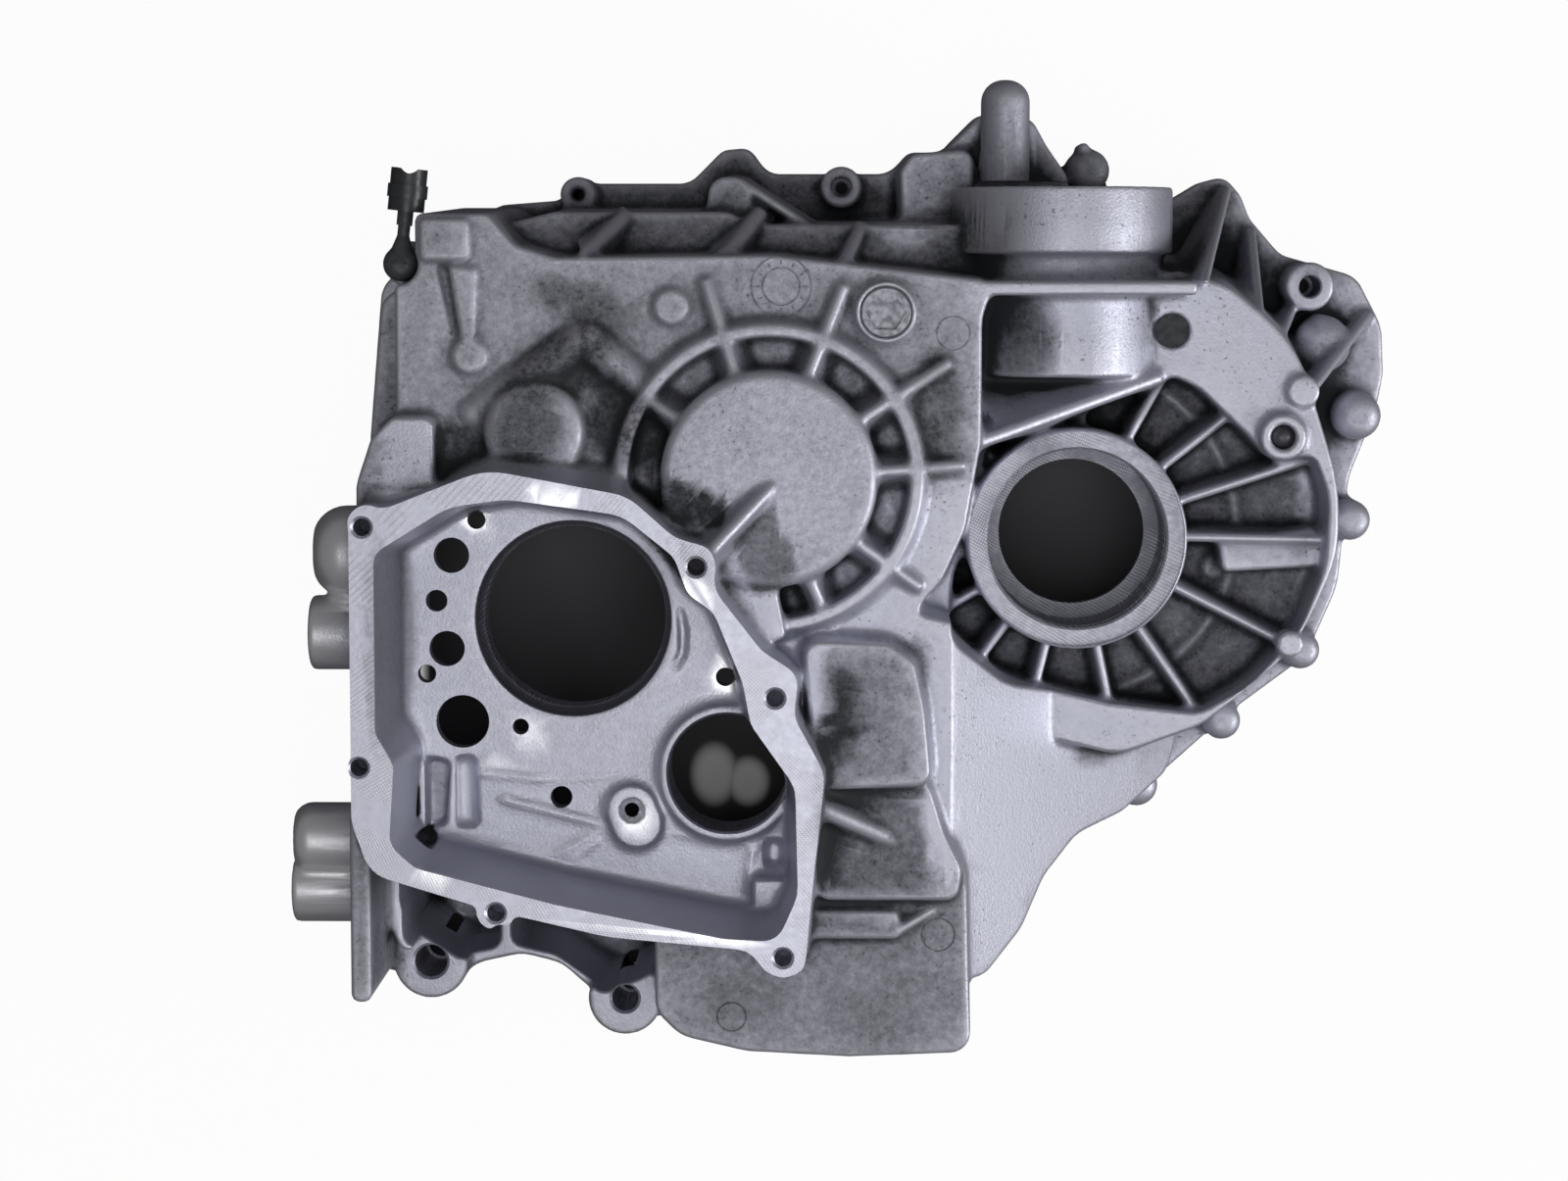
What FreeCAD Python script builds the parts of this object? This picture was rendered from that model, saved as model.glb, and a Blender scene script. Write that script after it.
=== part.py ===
import FreeCAD, Part
import math
import os

# Gearbox housing: an aluminium die casting that stands on its machined joint face, with its end
# face up. X runs along the housing, Y across it and Z up from the joint face. The origin is the
# middle of the footprint. All lengths are millimetres, all angles degrees.

Vector = FreeCAD.Vector
UP = Vector(0, 0, 1)
ACROSS = Vector(0, 1, 0)
OUTWARDS = Vector(-1, 0, 0)
Rotation = FreeCAD.Rotation
Placement = FreeCAD.Placement

doc = FreeCAD.newDocument("GearboxHousing")
sheet = doc.addObject("Spreadsheet::Sheet", "Sizes")

# Driving dimensions

SIZES = [
    # walls and castings in general
    ("wall", 5, "wall of the casting"),
    ("draft", 1.5, "draft of the tall walls"),
    ("wide_draft", 5, "draft of the differential housing"),
    ("overrun", 1, "how far a cut runs past the face it opens"),
    ("rib_width", 4, "crest width of a rib"),
    ("rib_draft", 3, "draft of a rib's flanks"),
    ("flange_thickness", 12, "joint flange"),
    # heights above the joint face
    ("case_height", 150, "end face of the gear case"),
    ("ledge_height", 105, "ledge along the upper flank"),
    ("foot_height", 88, "foot at the lower left"),
    ("rim_height", 185, "machined rim of the valve-body chamber"),
    ("floor_height", 130, "floor of the valve-body chamber"),
    ("floor_thickness", 8, "floor plate of the valve-body chamber"),
    ("step_rise", 15, "upper step beside the chamber, above the end face"),
    ("low_step_rise", 8, "lower step beside the chamber, above the end face"),
    ("step_draft", 6, "draft of the steps"),
    ("pad_height", 2.5, "flat pads and tabs on the end face"),
    ("foot_lug_height", 100, "bolt lugs of the foot"),
    ("foot_floor", 24, "bottom of the pockets in the foot"),
    ("foot_web_height", 128, "curved web between the foot and the side plate"),
    ("side_plate_height", 170, "plate at the left side"),
    ("column_height", 62, "column on the upper flank"),
    ("flank_boss_height", 98, "half-round boss on the upper flank"),
    ("flare_height", 52, "flare behind the tower"),
    ("housing_reach", 250, "more than the housing reaches from its middle"),
    # valve-body chamber
    ("rim_bolt_radius", 3.4, "tapping drill of the rim bolts"),
    ("rim_bolt_depth", 22, "depth of the rim bolt holes"),
    ("rim_boss_radius", 7.5, "boss round a rim bolt hole"),
    ("rim_boss_depth", 45, "length of a rim bolt boss"),
    ("main_bore_x", -109, "main bearing bore"),
    ("main_bore_y", -21, "main bearing bore"),
    ("main_bore_radius", 36, "main bearing bore"),
    ("second_bore_x", -48, "second bearing bore"),
    ("second_bore_y", -82, "second bearing bore"),
    ("second_bore_radius", 23.5, "second bearing bore"),
    ("chamber_wall", 8, "wall of the valve-body chamber"),
    ("chamber_draft", 4.5, "draft of the chamber's inner walls"),
    ("skirt_drop", 6, "start of the slope outside the rim, below the rim"),
    ("skirt_draft", 22, "slope outside the rim"),
    ("flare_drop", 22, "corner flare beside the chamber, below the rim"),
    ("floor_boss_radius", 10.4, "spot-faced boss on the chamber floor"),
    ("collar_step", 2, "ledge outside the collar of the second bore"),
    ("seat_wall", 6, "wall of a bearing seat"),
    ("seat_depth", 26, "depth of a bearing seat below its face"),
    ("bore_lip", 3, "step at the mouth of a bearing bore"),
    # domed bearing cover with ribs
    ("dome_x", -31, "dome over the end bearing"),
    ("dome_y", 36, "dome over the end bearing"),
    ("dome_radius", 42, "dome over the end bearing"),
    ("dome_rise", 13, "top of the dome above the end face"),
    ("dome_round", 4, "rounding of the dome's edge"),
    ("ring_radius", 59.5, "ring wall round the dome"),
    ("ring_width", 5, "ring wall round the dome"),
    ("ring_flare", 8, "how much wider the ring wall is at its foot"),
    ("ring_rise", 7, "top of the ring wall above the end face"),
    ("groove_depth", 11, "groove between dome and ring wall, below the end face"),
    ("dome_rib_rise", 11, "crest of the dome ribs above the end face"),
    ("dome_rib_width", 4.8, "crest width of a dome rib"),
    ("dome_rib_draft", 14, "draft of a dome rib's flanks"),
    ("rib_fall", 8, "how far a dome rib falls towards its tip"),
    ("dome_seat_radius", 34, "bearing seat inside the dome"),
    # differential housing
    ("diff_x", 90, "axis of the differential"),
    ("diff_y", 10, "axis of the differential"),
    ("diff_height", 106, "rim of the differential housing"),
    ("web_height", 72, "web between the differential ribs"),
    ("web_thickness", 6, "web between the differential ribs"),
    ("diff_ring_radius", 41.5, "ring round the output seal"),
    ("diff_ring_height", 118, "face of the ring round the output seal"),
    ("seal_radius", 35.5, "seat of the output seal"),
    ("seal_depth", 42, "depth of the output seal seat"),
    ("shaft_radius", 29.5, "opening for the output flange"),
    ("diff_rib_height", 99, "crest of the differential ribs"),
    ("diff_rib_reach", 115, "how far the ribs are drawn before the recess trims them"),
    ("spoke_width", 3.6, "crest width of a differential rib"),
    ("web_ridge_radius", 66, "ring ridge on the web"),
    ("web_ridge_width", 3, "ring ridge on the web"),
    ("web_ridge_height", 1.5, "ring ridge on the web"),
    # cross boss above the differential
    ("cross_x", 85, "axis of the cross boss"),
    ("cross_z", 88, "axis of the cross boss"),
    ("cross_radius", 38, "cross boss inside the pocket"),
    ("cross_collar", 2, "how much wider the cross boss is outside"),
    ("cross_edge", 1.5, "chamfer of the cross boss"),
    ("cross_start", 74, "inner end of the cross boss"),
    ("plate_y", 112, "outer face of the plate that the cross boss goes through"),
    ("plate_thickness", 5.5, "plate that the cross boss goes through"),
    ("cross_end", 146, "machined end of the cross boss"),
    ("cross_bore_radius", 31, "bore of the cross boss"),
    ("cross_bore_depth", 26, "depth of the cross boss bore"),
    ("pocket_height", 86, "bottom of the pocket round the cross boss"),
    ("pocket_slope", 28, "slope of the pocket's lower side"),
    # tower, gallery, round boss and side bosses
    ("tower_x", 63, "tower on the upper flank"),
    ("tower_z", 60, "tower on the upper flank"),
    ("tower_start", 110, "root of the tower"),
    ("tower_end", 183, "centre of the tower's round end"),
    ("tower_radius", 10, "tower on the upper flank"),
    ("gallery_radius", 7.5, "oil gallery under the end face"),
    ("round_boss_x", -122, "round boss beside the gallery"),
    ("round_boss_y", 54, "round boss beside the gallery"),
    ("round_boss_radius", 19.5, "round boss beside the gallery"),
    ("round_boss_height", 7, "round boss beside the gallery"),
    ("side_boss_root", -184, "root of the side bosses"),
    ("side_bore_radius", 9, "bores of the side bosses"),
    ("side_bore_depth", 18, "bores of the side bosses"),
    # sloping neck between gear case and differential
    ("neck_edge", 40, "where the neck starts to fall"),
    ("neck_angle", 47, "slope of the neck"),
    # separate pieces
    ("plug_x", 14, "screw plug"),
    ("plug_y", 100, "screw plug"),
    ("plug_boss_radius", 12, "boss round the screw plug"),
    ("plug_boss_rise", 4, "boss round the screw plug, above the end face"),
    ("plug_head_radius", 9.8, "head of the screw plug"),
    ("plug_head_height", 3.4, "head of the screw plug"),
    ("plug_edge", 0.8, "rounding of the plug's head"),
    ("plug_thread_radius", 8, "thread of the screw plug"),
    ("plug_thread_length", 11, "thread of the screw plug"),
    ("plug_socket", 13.4, "width across flats of the plug's socket"),
    ("plug_socket_depth", 3, "depth of the plug's socket"),
    ("fit_gap", 0.1, "clearance round a pressed or screwed piece"),
    ("core_plug_x", 128, "core plug in the crescent"),
    ("core_plug_y", 92, "core plug in the crescent"),
    ("core_plug_radius", 6.6, "core plug in the crescent"),
    ("core_plug_depth", 3, "core plug in the crescent"),
    ("core_plug_drop", 0.6, "how far the core plug lies below its face"),
    ("ball_x", 172, "ball plug"),
    ("ball_y", 50, "ball plug"),
    ("ball_radius", 5, "ball plug"),
    ("ball_drop", 1.5, "how far the ball lies below the rim of its boss"),
    ("ball_boss_radius", 9.3, "boss round the ball plug"),
    ("ball_boss_height", 6, "boss round the ball plug"),
    ("press_fit", 0.02, "how much tighter a hole is than the ball in it"),
    ("breather_x", -175, "upright part of the breather"),
    ("breather_y", 118.5, "upright part of the breather"),
    ("breather_z", 138, "level part of the breather"),
    ("breather_seat", 118, "shoulder that the breather stands on"),
    ("breather_radius", 6.8, "upright part of the breather"),
    ("breather_lean", 6, "direction of the breather pipe, off the housing's width"),
    ("breather_notch", 8, "notch in the casting round the breather"),
    ("breather_boss", 9, "boss under the breather"),
    ("breather_top", 143, "top of the upright part"),
    ("breather_spigot", 4, "spigot of the breather in the casting"),
    ("breather_reach", 10, "length of the spigot"),
    ("breather_taper", 11, "length of the tapering part"),
    ("breather_pipe", 2.4, "thin part of the breather pipe"),
    ("breather_pipe_end", 15, "end of the thin part, from the upright"),
    ("breather_neck", 3.1, "neck of the breather pipe under its cap"),
    ("cap_start", 20.5, "open end of the breather cap, from the upright"),
    ("cap_seat", 5, "how far the neck goes into the cap"),
    ("cap_radius", 6.7, "skirt of the breather cap"),
    ("cap_band_radius", 7.8, "band round the breather cap"),
    ("cap_band_length", 5.2, "skirt and band of the cap, each this long"),
    ("cap_head_radius", 7.1, "head of the breather cap"),
    ("cap_length", 16.6, "length of the breather cap"),
    ("cap_dip", 5, "hollow across the head of the cap"),
    ("cap_dip_depth", 2, "hollow across the head of the cap"),
]

for row, (alias, value, meaning) in enumerate(SIZES, start=1):
    sheet.set("A%d" % row, meaning)
    sheet.set("B%d" % row, str(value))
    sheet.setAlias("B%d" % row, alias)
doc.recompute()


def size(alias):
    """The value of one driving dimension, for code that works out a shape from it."""
    return float(sheet.get(alias))


# Outlines: corners as (x, y, radius), each rounded by an arc tangent to both sides


def turn_of(before, corner, after):
    """Half the angle inside a corner, and unit vectors from the corner to its neighbours."""
    to_before = Vector(before[0] - corner[0], before[1] - corner[1], 0)
    to_after = Vector(after[0] - corner[0], after[1] - corner[1], 0)
    half = to_before.getAngle(to_after) / 2
    return half, to_before.normalize(), to_after.normalize()


def outline(corners):
    """Lines and tangent arcs of a closed outline. A radius that its sides can't hold is limited."""
    count = len(corners)
    lengths = [math.dist(corners[i][:2], corners[(i + 1) % count][:2]) for i in range(count)]
    arcs = []
    for i, corner in enumerate(corners):
        half, back, ahead = turn_of(corners[i - 1], corner, corners[(i + 1) % count])
        reach = min(corner[2] / math.tan(half), 0.49 * lengths[i - 1], 0.49 * lengths[i])
        radius = reach * math.tan(half)
        point = Vector(corner[0], corner[1], 0)
        middle = point + (back + ahead).normalize() * (radius / math.sin(half) - radius)
        arcs.append((point + back * reach, middle, point + ahead * reach))
    geometry = []
    for i, (start, middle, end) in enumerate(arcs):
        geometry.append(Part.Arc(start, middle, end))
        geometry.append(Part.LineSegment(end, arcs[(i + 1) % count][0]))
    return geometry


def inset(corners, distance):
    """The outline moved inwards by a distance: outer corners get tighter, inner ones wider."""
    count = len(corners)
    area = sum(
        corners[i - 1][0] * corners[i][1] - corners[i][0] * corners[i - 1][1] for i in range(count)
    )
    side = 1 if area > 0 else -1
    moved = []
    for i, (x, y, radius) in enumerate(corners):
        half, back, ahead = turn_of(corners[i - 1], corners[i], corners[(i + 1) % count])
        left = Vector(-ahead.y, ahead.x, 0) * side
        convex = back.dot(left) > 0
        shift = (back + ahead).normalize() * (distance / math.sin(half))
        if not convex:
            shift = shift * -1
        new_radius = radius - distance if convex else radius + distance
        moved.append((x + shift.x, y + shift.y, max(new_radius, 1)))
    return moved


# Building blocks


def bind(item, bindings):
    """Tie properties to the sheet. A number is an expression too."""
    for name, value in bindings.items():
        item.setExpression(name, str(value))
    return item


def origin_plane(body, role):
    return [plane for plane in body.Origin.OriginFeatures if plane.Role == role][0]


def prism(name, corners, top, height, draft=None, narrowing=False):
    """A block under an outline at the height top, reaching down by height. The draft widens it."""
    body = doc.addObject("PartDesign::Body", name)
    sketch = body.newObject("Sketcher::SketchObject", name + "Outline")
    sketch.AttachmentSupport = [(origin_plane(body, "XY_Plane"), "")]
    sketch.MapMode = "FlatFace"
    bind(sketch, {"AttachmentOffset.Base.z": top})
    sketch.addGeometry(outline(corners), False)
    pad = body.newObject("PartDesign::Pad", name + "Pad")
    pad.Profile = sketch
    pad.Reversed = True
    bind(pad, {"Length": height})
    if draft:
        doc.recompute()
        faces = pad.Shape.Faces
        sides = ["Face%d" % (i + 1) for i, f in enumerate(faces) if abs(f.normalAt(0, 0).z) < 0.5]
        tops = ["Face%d" % (i + 1) for i, f in enumerate(faces) if f.normalAt(0, 0).z > 0.5]
        slope = body.newObject("PartDesign::Draft", name + "Draft")
        slope.Base = (pad, sides)
        slope.NeutralPlane = (pad, tops)
        slope.Reversed = narrowing
        bind(slope, {"Angle": draft})
    return body


def cylinder(name, x, y, z, radius, height, direction=UP):
    """A cylinder from a point along a direction."""
    item = doc.addObject("Part::Cylinder", name)
    item.Placement = Placement(Vector(), Rotation(UP, direction))
    places = {"Placement.Base.x": x, "Placement.Base.y": y, "Placement.Base.z": z}
    return bind(item, {"Radius": radius, "Height": height, **places})


def cone(name, x, y, z, low_radius, high_radius, height, direction=UP):
    item = doc.addObject("Part::Cone", name)
    item.Placement = Placement(Vector(), Rotation(UP, direction))
    places = {"Placement.Base.x": x, "Placement.Base.y": y, "Placement.Base.z": z}
    return bind(item, {"Radius1": low_radius, "Radius2": high_radius, "Height": height, **places})


def sphere(name, x, y, z, radius):
    item = doc.addObject("Part::Sphere", name)
    places = {"Placement.Base.x": x, "Placement.Base.y": y, "Placement.Base.z": z}
    return bind(item, {"Radius": radius, **places})


def rib(name, start, end, foot, width=None, draft=None):
    """A rib between two points of its crest, drafted flanks and a round crest, down to the height foot."""
    half_crest = (width or size("rib_width")) / 2
    run = Vector(*end) - Vector(*start)
    across = Vector(-run.y, run.x, 0).normalize()
    crest = Vector(*start)
    depth = max(start[2], end[2]) - foot + abs(run.z)
    half_foot = half_crest + depth * math.tan(math.radians(draft or size("rib_draft")))
    shoulder = crest - Vector(0, 0, half_crest)
    base = crest - Vector(0, 0, depth)
    left, right = shoulder + across * half_crest, shoulder - across * half_crest
    left_foot, right_foot = base + across * half_foot, base - across * half_foot
    edges = [
        Part.LineSegment(left_foot, left).toShape(),
        Part.Arc(left, crest, right).toShape(),
        Part.LineSegment(right, right_foot).toShape(),
        Part.LineSegment(right_foot, left_foot).toShape(),
    ]
    bar = Part.Face(Part.Wire(edges)).extrude(run)
    reach = size("housing_reach")
    above_foot = Part.makeBox(2 * reach, 2 * reach, reach, Vector(-reach, -reach, foot))
    item = doc.addObject("Part::Feature", name)
    item.Shape = bar.common(above_foot)
    return item


def rounded(name, bar, direction, rounding, both=False):
    """A cylinder whose far edge is rounded, or the edges of both its ends."""
    doc.recompute()
    edges = enumerate(bar.Shape.Edges, start=1)
    circles = sorted((edge.CenterOfMass.dot(direction), number) for number, edge in edges if edge.isClosed())
    chosen = circles if both else circles[-1:]
    item = doc.addObject("Part::Fillet", name)
    item.Base = bar
    item.Edges = [(number, rounding, rounding) for reach, number in chosen]
    return item


def fuse(name, items):
    item = doc.addObject("Part::MultiFuse", name)
    item.Shapes = items
    item.Refine = False
    return item


def cut(name, base, tools):
    """The base less all the tools, fused first when there are several."""
    item = doc.addObject("Part::Cut", name)
    item.Base = base
    item.Tool = tools[0] if len(tools) == 1 else fuse(name + "Tools", tools)
    item.Refine = False
    return item


def common(name, first, second):
    item = doc.addObject("Part::Common", name)
    item.Base = first
    item.Tool = second
    return item


# Outlines seen from above, at the height of each form's top

FLANGE = [
    (-204, 50, 20), (-199, 108, 12), (-184, 124, 10), (-166, 131, 10), (-148, 143, 8), (-122, 145, 8),
    (-112, 152, 8), (-68, 152, 10), (-54, 166, 6), (-43, 167, 6), (-35, 156, 8), (16, 156, 10),
    (24, 165, 6), (44, 165, 10), (86, 157, 10), (118, 147, 8), (131, 143, 8), (146, 152, 8),
    (157, 155, 7), (164, 147, 8), (168, 137, 8), (181, 122, 10), (213, 113, 12), (224, 92, 20),
    (225, 72, 20), (222, 56, 14), (211, 28, 30), (207, -18, 40), (194, -48, 20), (162, -72, 20),
    (130, -101, 14), (92, -115, 18), (78, -128, 16), (70, -148, 16), (54, -163, 12), (53, -193, 8),
    (-40, -194, 40), (-70, -186, 14), (-122, -166, 14), (-150, -164, 14), (-174, -182, 12),
    (-202, -180, 8),
]
GEAR_CASE = [
    (-176, 112, 8), (-168, 122, 8), (-168, 138, 3), (-140, 138, 4), (-130, 126, 9),
    (-114, 121, 12), (-30, 122, 40), (56, 112, 5), (51, 98, 20), (51, 50, 12), (45, 16, 20),
    (36, -4, 16), (27, -14, 10), (28, -40, 16), (34, -84, 20), (46, -118, 20), (47, -160, 30),
    (48, -190, 8), (0, -192, 30), (-40, -190, 30), (-66, -184, 15), (-76, -174, 10),
    (-76, -140, 12), (-170, -100, 8), (-176, 30, 8),
]
LEDGE = [
    (-192, -20, 8), (-192, 50, 30), (-187, 104, 8), (-178, 110, 6), (-168, 126, 8), (-150, 131, 8),
    (-118, 139, 10), (-48, 139, 12), (-40, 134, 12), (44, 134, 8), (52, 124, 8), (52, 96, 8),
    (-150, 96, 10), (-150, -20, 8),
]
CHAMBER = [
    (-190, 28, 6), (-176, 26, 12), (-138, 41, 30), (-84, 31, 20), (-66, 15, 16), (-51, 11, 7),
    (-51, -5, 12), (-33, -28, 14), (-19, -37, 8), (-21, -53, 12), (-9, -75, 14),
    (-13, -112, 60), (-17, -153, 6), (-31, -152, 6), (-38, -143, 10), (-92, -138, 60),
    (-140, -127, 60), (-183, -114, 14), (-190, -94, 16),
]
CHAMBER_HOLLOW = [
    (-181, 9, 7), (-152, 27, 25), (-130, 30, 30), (-86, 24, 20), (-66, 8, 9), (-61, -6, 9),
    (-51, -13, 9), (-40, -40, 14), (-37, -56, 10), (-20, -80, 14), (-19, -122, 16),
    (-27, -140, 9), (-48, -139, 20), (-112, -126, 60), (-166, -112, 10), (-176, -103, 9),
    (-174, -72, 6), (-181, -60, 7),
]
# slope outside the rim, flare at its upper left corner, and the filled corner below the dome
SKIRT = [
    (-168, -30, 4), (-168, 18, 10), (-138, 36, 30), (-86, 27, 30), (-62, 7, 30), (-42, -20, 14),
    (-60, -50, 5),
]
CORNER_FLARE = [(-190, 10, 3), (-190, 34, 10), (-184, 52, 8), (-176, 60, 4), (-160, 60, 4), (-160, 10, 3)]
DOME_CORNER = [(-66, 14, 3), (-48, 4, 6), (-28, -6, 3), (-24, -26, 3), (-46, -30, 4)]
FOOT = [
    (-197, -90, 8), (-197, -168, 8), (-164, -176, 10), (-152, -167, 14), (-134, -163, 16),
    (-118, -167, 16), (-102, -181, 10), (-78, -189, 10), (-60, -189, 8), (-60, -110, 8),
]
FOOT_POCKETS = [
    [(-178, -124, 5), (-178, -150, 6), (-158, -163, 6), (-143, -160, 5), (-143, -130, 5)],
    [(-138, -132, 5), (-138, -159, 5), (-120, -163, 10), (-100, -177, 6), (-79, -168, 8), (-79, -146, 8)],
]
FOOT_WEB = [
    (-190, -112, 3), (-179, -112, 4), (-179, -136, 12), (-170, -152, 5), (-178, -156, 4), (-186, -138, 12),
]
DIFF_CASE = [
    (15, 112, 6), (131, 115, 10), (150, 110, 20), (177, 88, 90), (195, 31, 80),
    (195, 2, 55), (178, -36, 70), (141, -66, 25), (108, -78, 20), (15, -55, 10),
]
DIFF_RECESS = [
    (54, 47, 7), (117, 69, 8), (129, 74, 5), (139, 69, 10), (158, 51, 30), (167, 41, 6), (185, 42, 4),
    (191, 26, 30), (190, -2, 40), (180, -28, 40), (160, -50, 40), (140, -61, 14), (104, -57, 30),
    (62, -47, 25), (39, -27, 12), (42, -4, 15), (50, 16, 25),
]
CRESCENT_SPACE = [
    (134, 104, 6), (148, 102, 12), (169, 82, 60), (184, 54, 8), (172, 50, 8), (154, 66, 30), (134, 84, 8),
]
POCKET = [(56, 105, 5), (122, 105, 5), (121, 76, 6), (56, 55, 6)]
NECK = [
    (15, -14, 6), (56, -24, 10), (141, -62, 12), (132, -92, 12), (112, -106, 12), (92, -112, 16),
    (78, -127, 16), (69, -146, 16), (54, -162, 8), (15, -166, 6),
]
UPPER_STEP = [(-18, -26, 6), (15, -27, 8), (25, -34, 6), (29, -52, 12), (32, -82, 6), (-12, -84, 4)]
LOWER_STEP = [
    (-14, -82, 4), (31, -82, 5), (37, -102, 8), (44, -116, 8), (42, -128, 5), (-12, -128, 4),
]

SIDE_PLATE = [(-193, -92, 2), (-185, -92, 2), (-185, -167, 3), (-193, -167, 3)]
COLUMN = [(21, 128, 4), (50, 128, 4), (50, 165, 5), (25, 163, 5), (20, 156, 5)]
FLANK_BOSS = [(-58, 134, 4), (-40, 134, 4), (-40, 153, 7), (-56, 153, 7)]
TOWER_FLARE = [
    (34, 125, 6), (34, 156, 8), (41, 167, 8), (54, 180, 8), (74, 178, 8), (80, 167, 8), (89, 154, 8),
    (90, 125, 6),
]
CORNER_PAD = [(-166, 120, 2), (-147, 120, 2), (-147, 136, 2), (-166, 136, 2)]
TAB = [(-20, -133, 2), (19, -133, 2), (20, -144, 2), (-20, -144, 2)]
WEDGE_TAB = [(-155, 118, 1), (-144, 117, 1), (-145, 90, 2), (-150, 88, 2)]
WEDGE_GROOVE = [(-160, 119, 1), (-155, 119, 1), (-150, 88, 1), (-153, 90, 1)]
RIB_BLOCK = [(148, 8, 2), (188, 13, 3), (188, -3, 3), (150, -5, 2)]
ARC_GROOVE = [
    (-68, -17, 1), (-66, -17, 1), (-64, -26, 4), (-64.5, -35, 4), (-68, -41, 1), (-70, -40, 1),
    (-67, -34, 4), (-67, -26, 4),
]
END_BLOCK = [(-38, -123, 2), (-25, -123, 2), (-25, -146, 2), (-38, -146, 2)]
PLATE_ENDS = (50, 134)
case_top = size("case_height")
ledge_top = size("ledge_height")
rim_top = size("rim_height")
diff_top = size("diff_height")
# crests of stiffening ribs: start, end, height of the foot, crest width, draft
RIBS = [
    ((-103, 122, case_top - 1), (-88, 139, ledge_top), 90, 5, 8),
    ((-49, 120, case_top - 1), (-35, 140, ledge_top - 4), 90, 5, 8),
    ((-2, 119, case_top - 1), (5, 135, ledge_top - 2), 90, 4, 3),
    ((-44, 151, ledge_top - 8), (-4, 125, ledge_top + 1), 60, 3, 3),
    ((137, 111, case_top - 1), (157, 150, 34), 0, 3, 2),
    ((163, 100, diff_top - 1), (168, 133, 22), 0, 3.5, 3),
    ((190, 68, 62), (219, 98, 18), 0, 4, 3),
    ((174, 86, 75), (184, 100, 40), 0, 3, 3),
    ((85, 110, 52), (85, 144, 46), 0, 4, 3),
    ((-12, -90, rim_top - 12), (21, -107, case_top + 7), 147, 6, 14),
    ((18, -141.5, case_top + 6), (33, -133, case_top + 2), 145, 3, 10),
]
# oil gallery under the end face, with its knee in the middle: x, y, z
GALLERY = [(-148, 60, case_top - 5), (-103, 90, case_top - 1), (-76, 69, case_top - 3)]
# round blisters on the flange: x, y, z of the top's centre, radius
BLISTERS = [(99, 157, 30, 9), (197, 85, 36, 12)]
# side bosses: y, z, radius, x of the outer end, rounding of the end
SIDE_BOSSES = [
    (4, 112, 18.5, -214.5, 14), (-29, 106, 15, -216, 1.5), (-114, 96, 14.5, -226, 8),
    (-135, 92, 14, -226, 1.5),
]
# flat raised pads that ejector pins left: x, y, radius
EJECTOR_PADS = [(-147, 83, 6.8), (-69, 102, 6.8)]
FLOOR_BOSS = (-86, -97)
FLOOR_BOSS_TAIL = (-84, -102)
RIM_RIB_END = (-29, 34)
# recesses in the chamber floor: outline, height of the bottom
SLOTS = [
    ([(-178, -79, 2), (-171, -77, 2), (-171, -100, 2), (-176, -106, 2)], 60),
    ([(-168, -76, 2), (-158, -78, 2), (-160, -103, 2), (-168, -105, 2)], 124),
    ([(-156, -76, 2), (-148, -76, 2), (-147, -104, 2), (-156, -104, 2)], 127),
    ([(-33.5, -109, 1.5), (-26, -109, 1.5), (-26, -120, 1.5), (-33.5, -120, 1.5)], 125),
    (ARC_GROOVE, 127),
]
RIM_BOLTS = [(-185, 19), (-187, -73), (-135, -129), (-25, -146), (-28, -46), (-58, 4)]
# how far the boss round a rim bolt is moved inwards from its hole
RIM_BOSS_SHIFT = [(2, 1), (4.5, 0), (0, 1), (0, 0), (0, 0), (0, 0)]
DOME_RIB_TIPS = [(-56, 113), (-2, 111), (39, 81), (45, 41), (28, -7), (-85, 71), (-7, -23)]
# directions of the ribs round the differential, in degrees from X
SPOKES = [18, 38, 61, 87, 112, 137, 162, 187, 210, 233, 256, 282, 305, 333, 359]
# holes of the chamber floor: x, y, radius
FLOOR_HOLES = [
    (-157, 4, 6.9), (-163, -14, 4.2), (-159, -33, 6.9), (-167, -43, 3.5), (-153, -62, 10.4),
    (-147, 18, 3.5), (-130, -64, 3.1), (-49, -44, 3.6), (-114, -92, 4.2), (-86, -97, 4.2),
]
OVAL_HOLE = (-168, -109)
OVAL_HOLE_RADIUS = 4.5
OVAL_HOLE_DEPTH = 36
STOP_BOSS = (44, -10)
STOP_BOSS_RADIUS = 6
STOP_BOSS_HOLE = 2.8
WEB_PAD = (148, -5)
WEB_PAD_RADIUS = 4.4
# round pads on the rim of the differential housing: x, y, radius
RIM_PADS = [(180, 68, 6.6), (176, -33, 5.4)]
# crest of the wall between recess and pocket, falling to the right
PARTITION = ((50, 49.5, case_top - 3), (124, 74, diff_top + 3))
# bolt lugs of the joint flange: x, y, radius, height, hole
LUGS = [
    (-114, 147, 7.5, 30, 3), (-4, 150, 8.5, 40, 4.1), (190, 109, 10, 42, 4.5),
    (97, 166, 2.6, 28, 0), (212, 55, 10, 34, 0), (210, 11, 8.5, 30, 0), (190, -44, 8, 30, 0),
    (157, -74, 8, 30, 0), (121, -101, 9, 34, 0),
]
# lugs of the foot: x, y, radius, hole
FOOT_LUGS = [(-170, -164, 15.3, 6.6), (-91, -179, 15, 5.4)]
# Outer forms, all standing on the joint face


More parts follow.
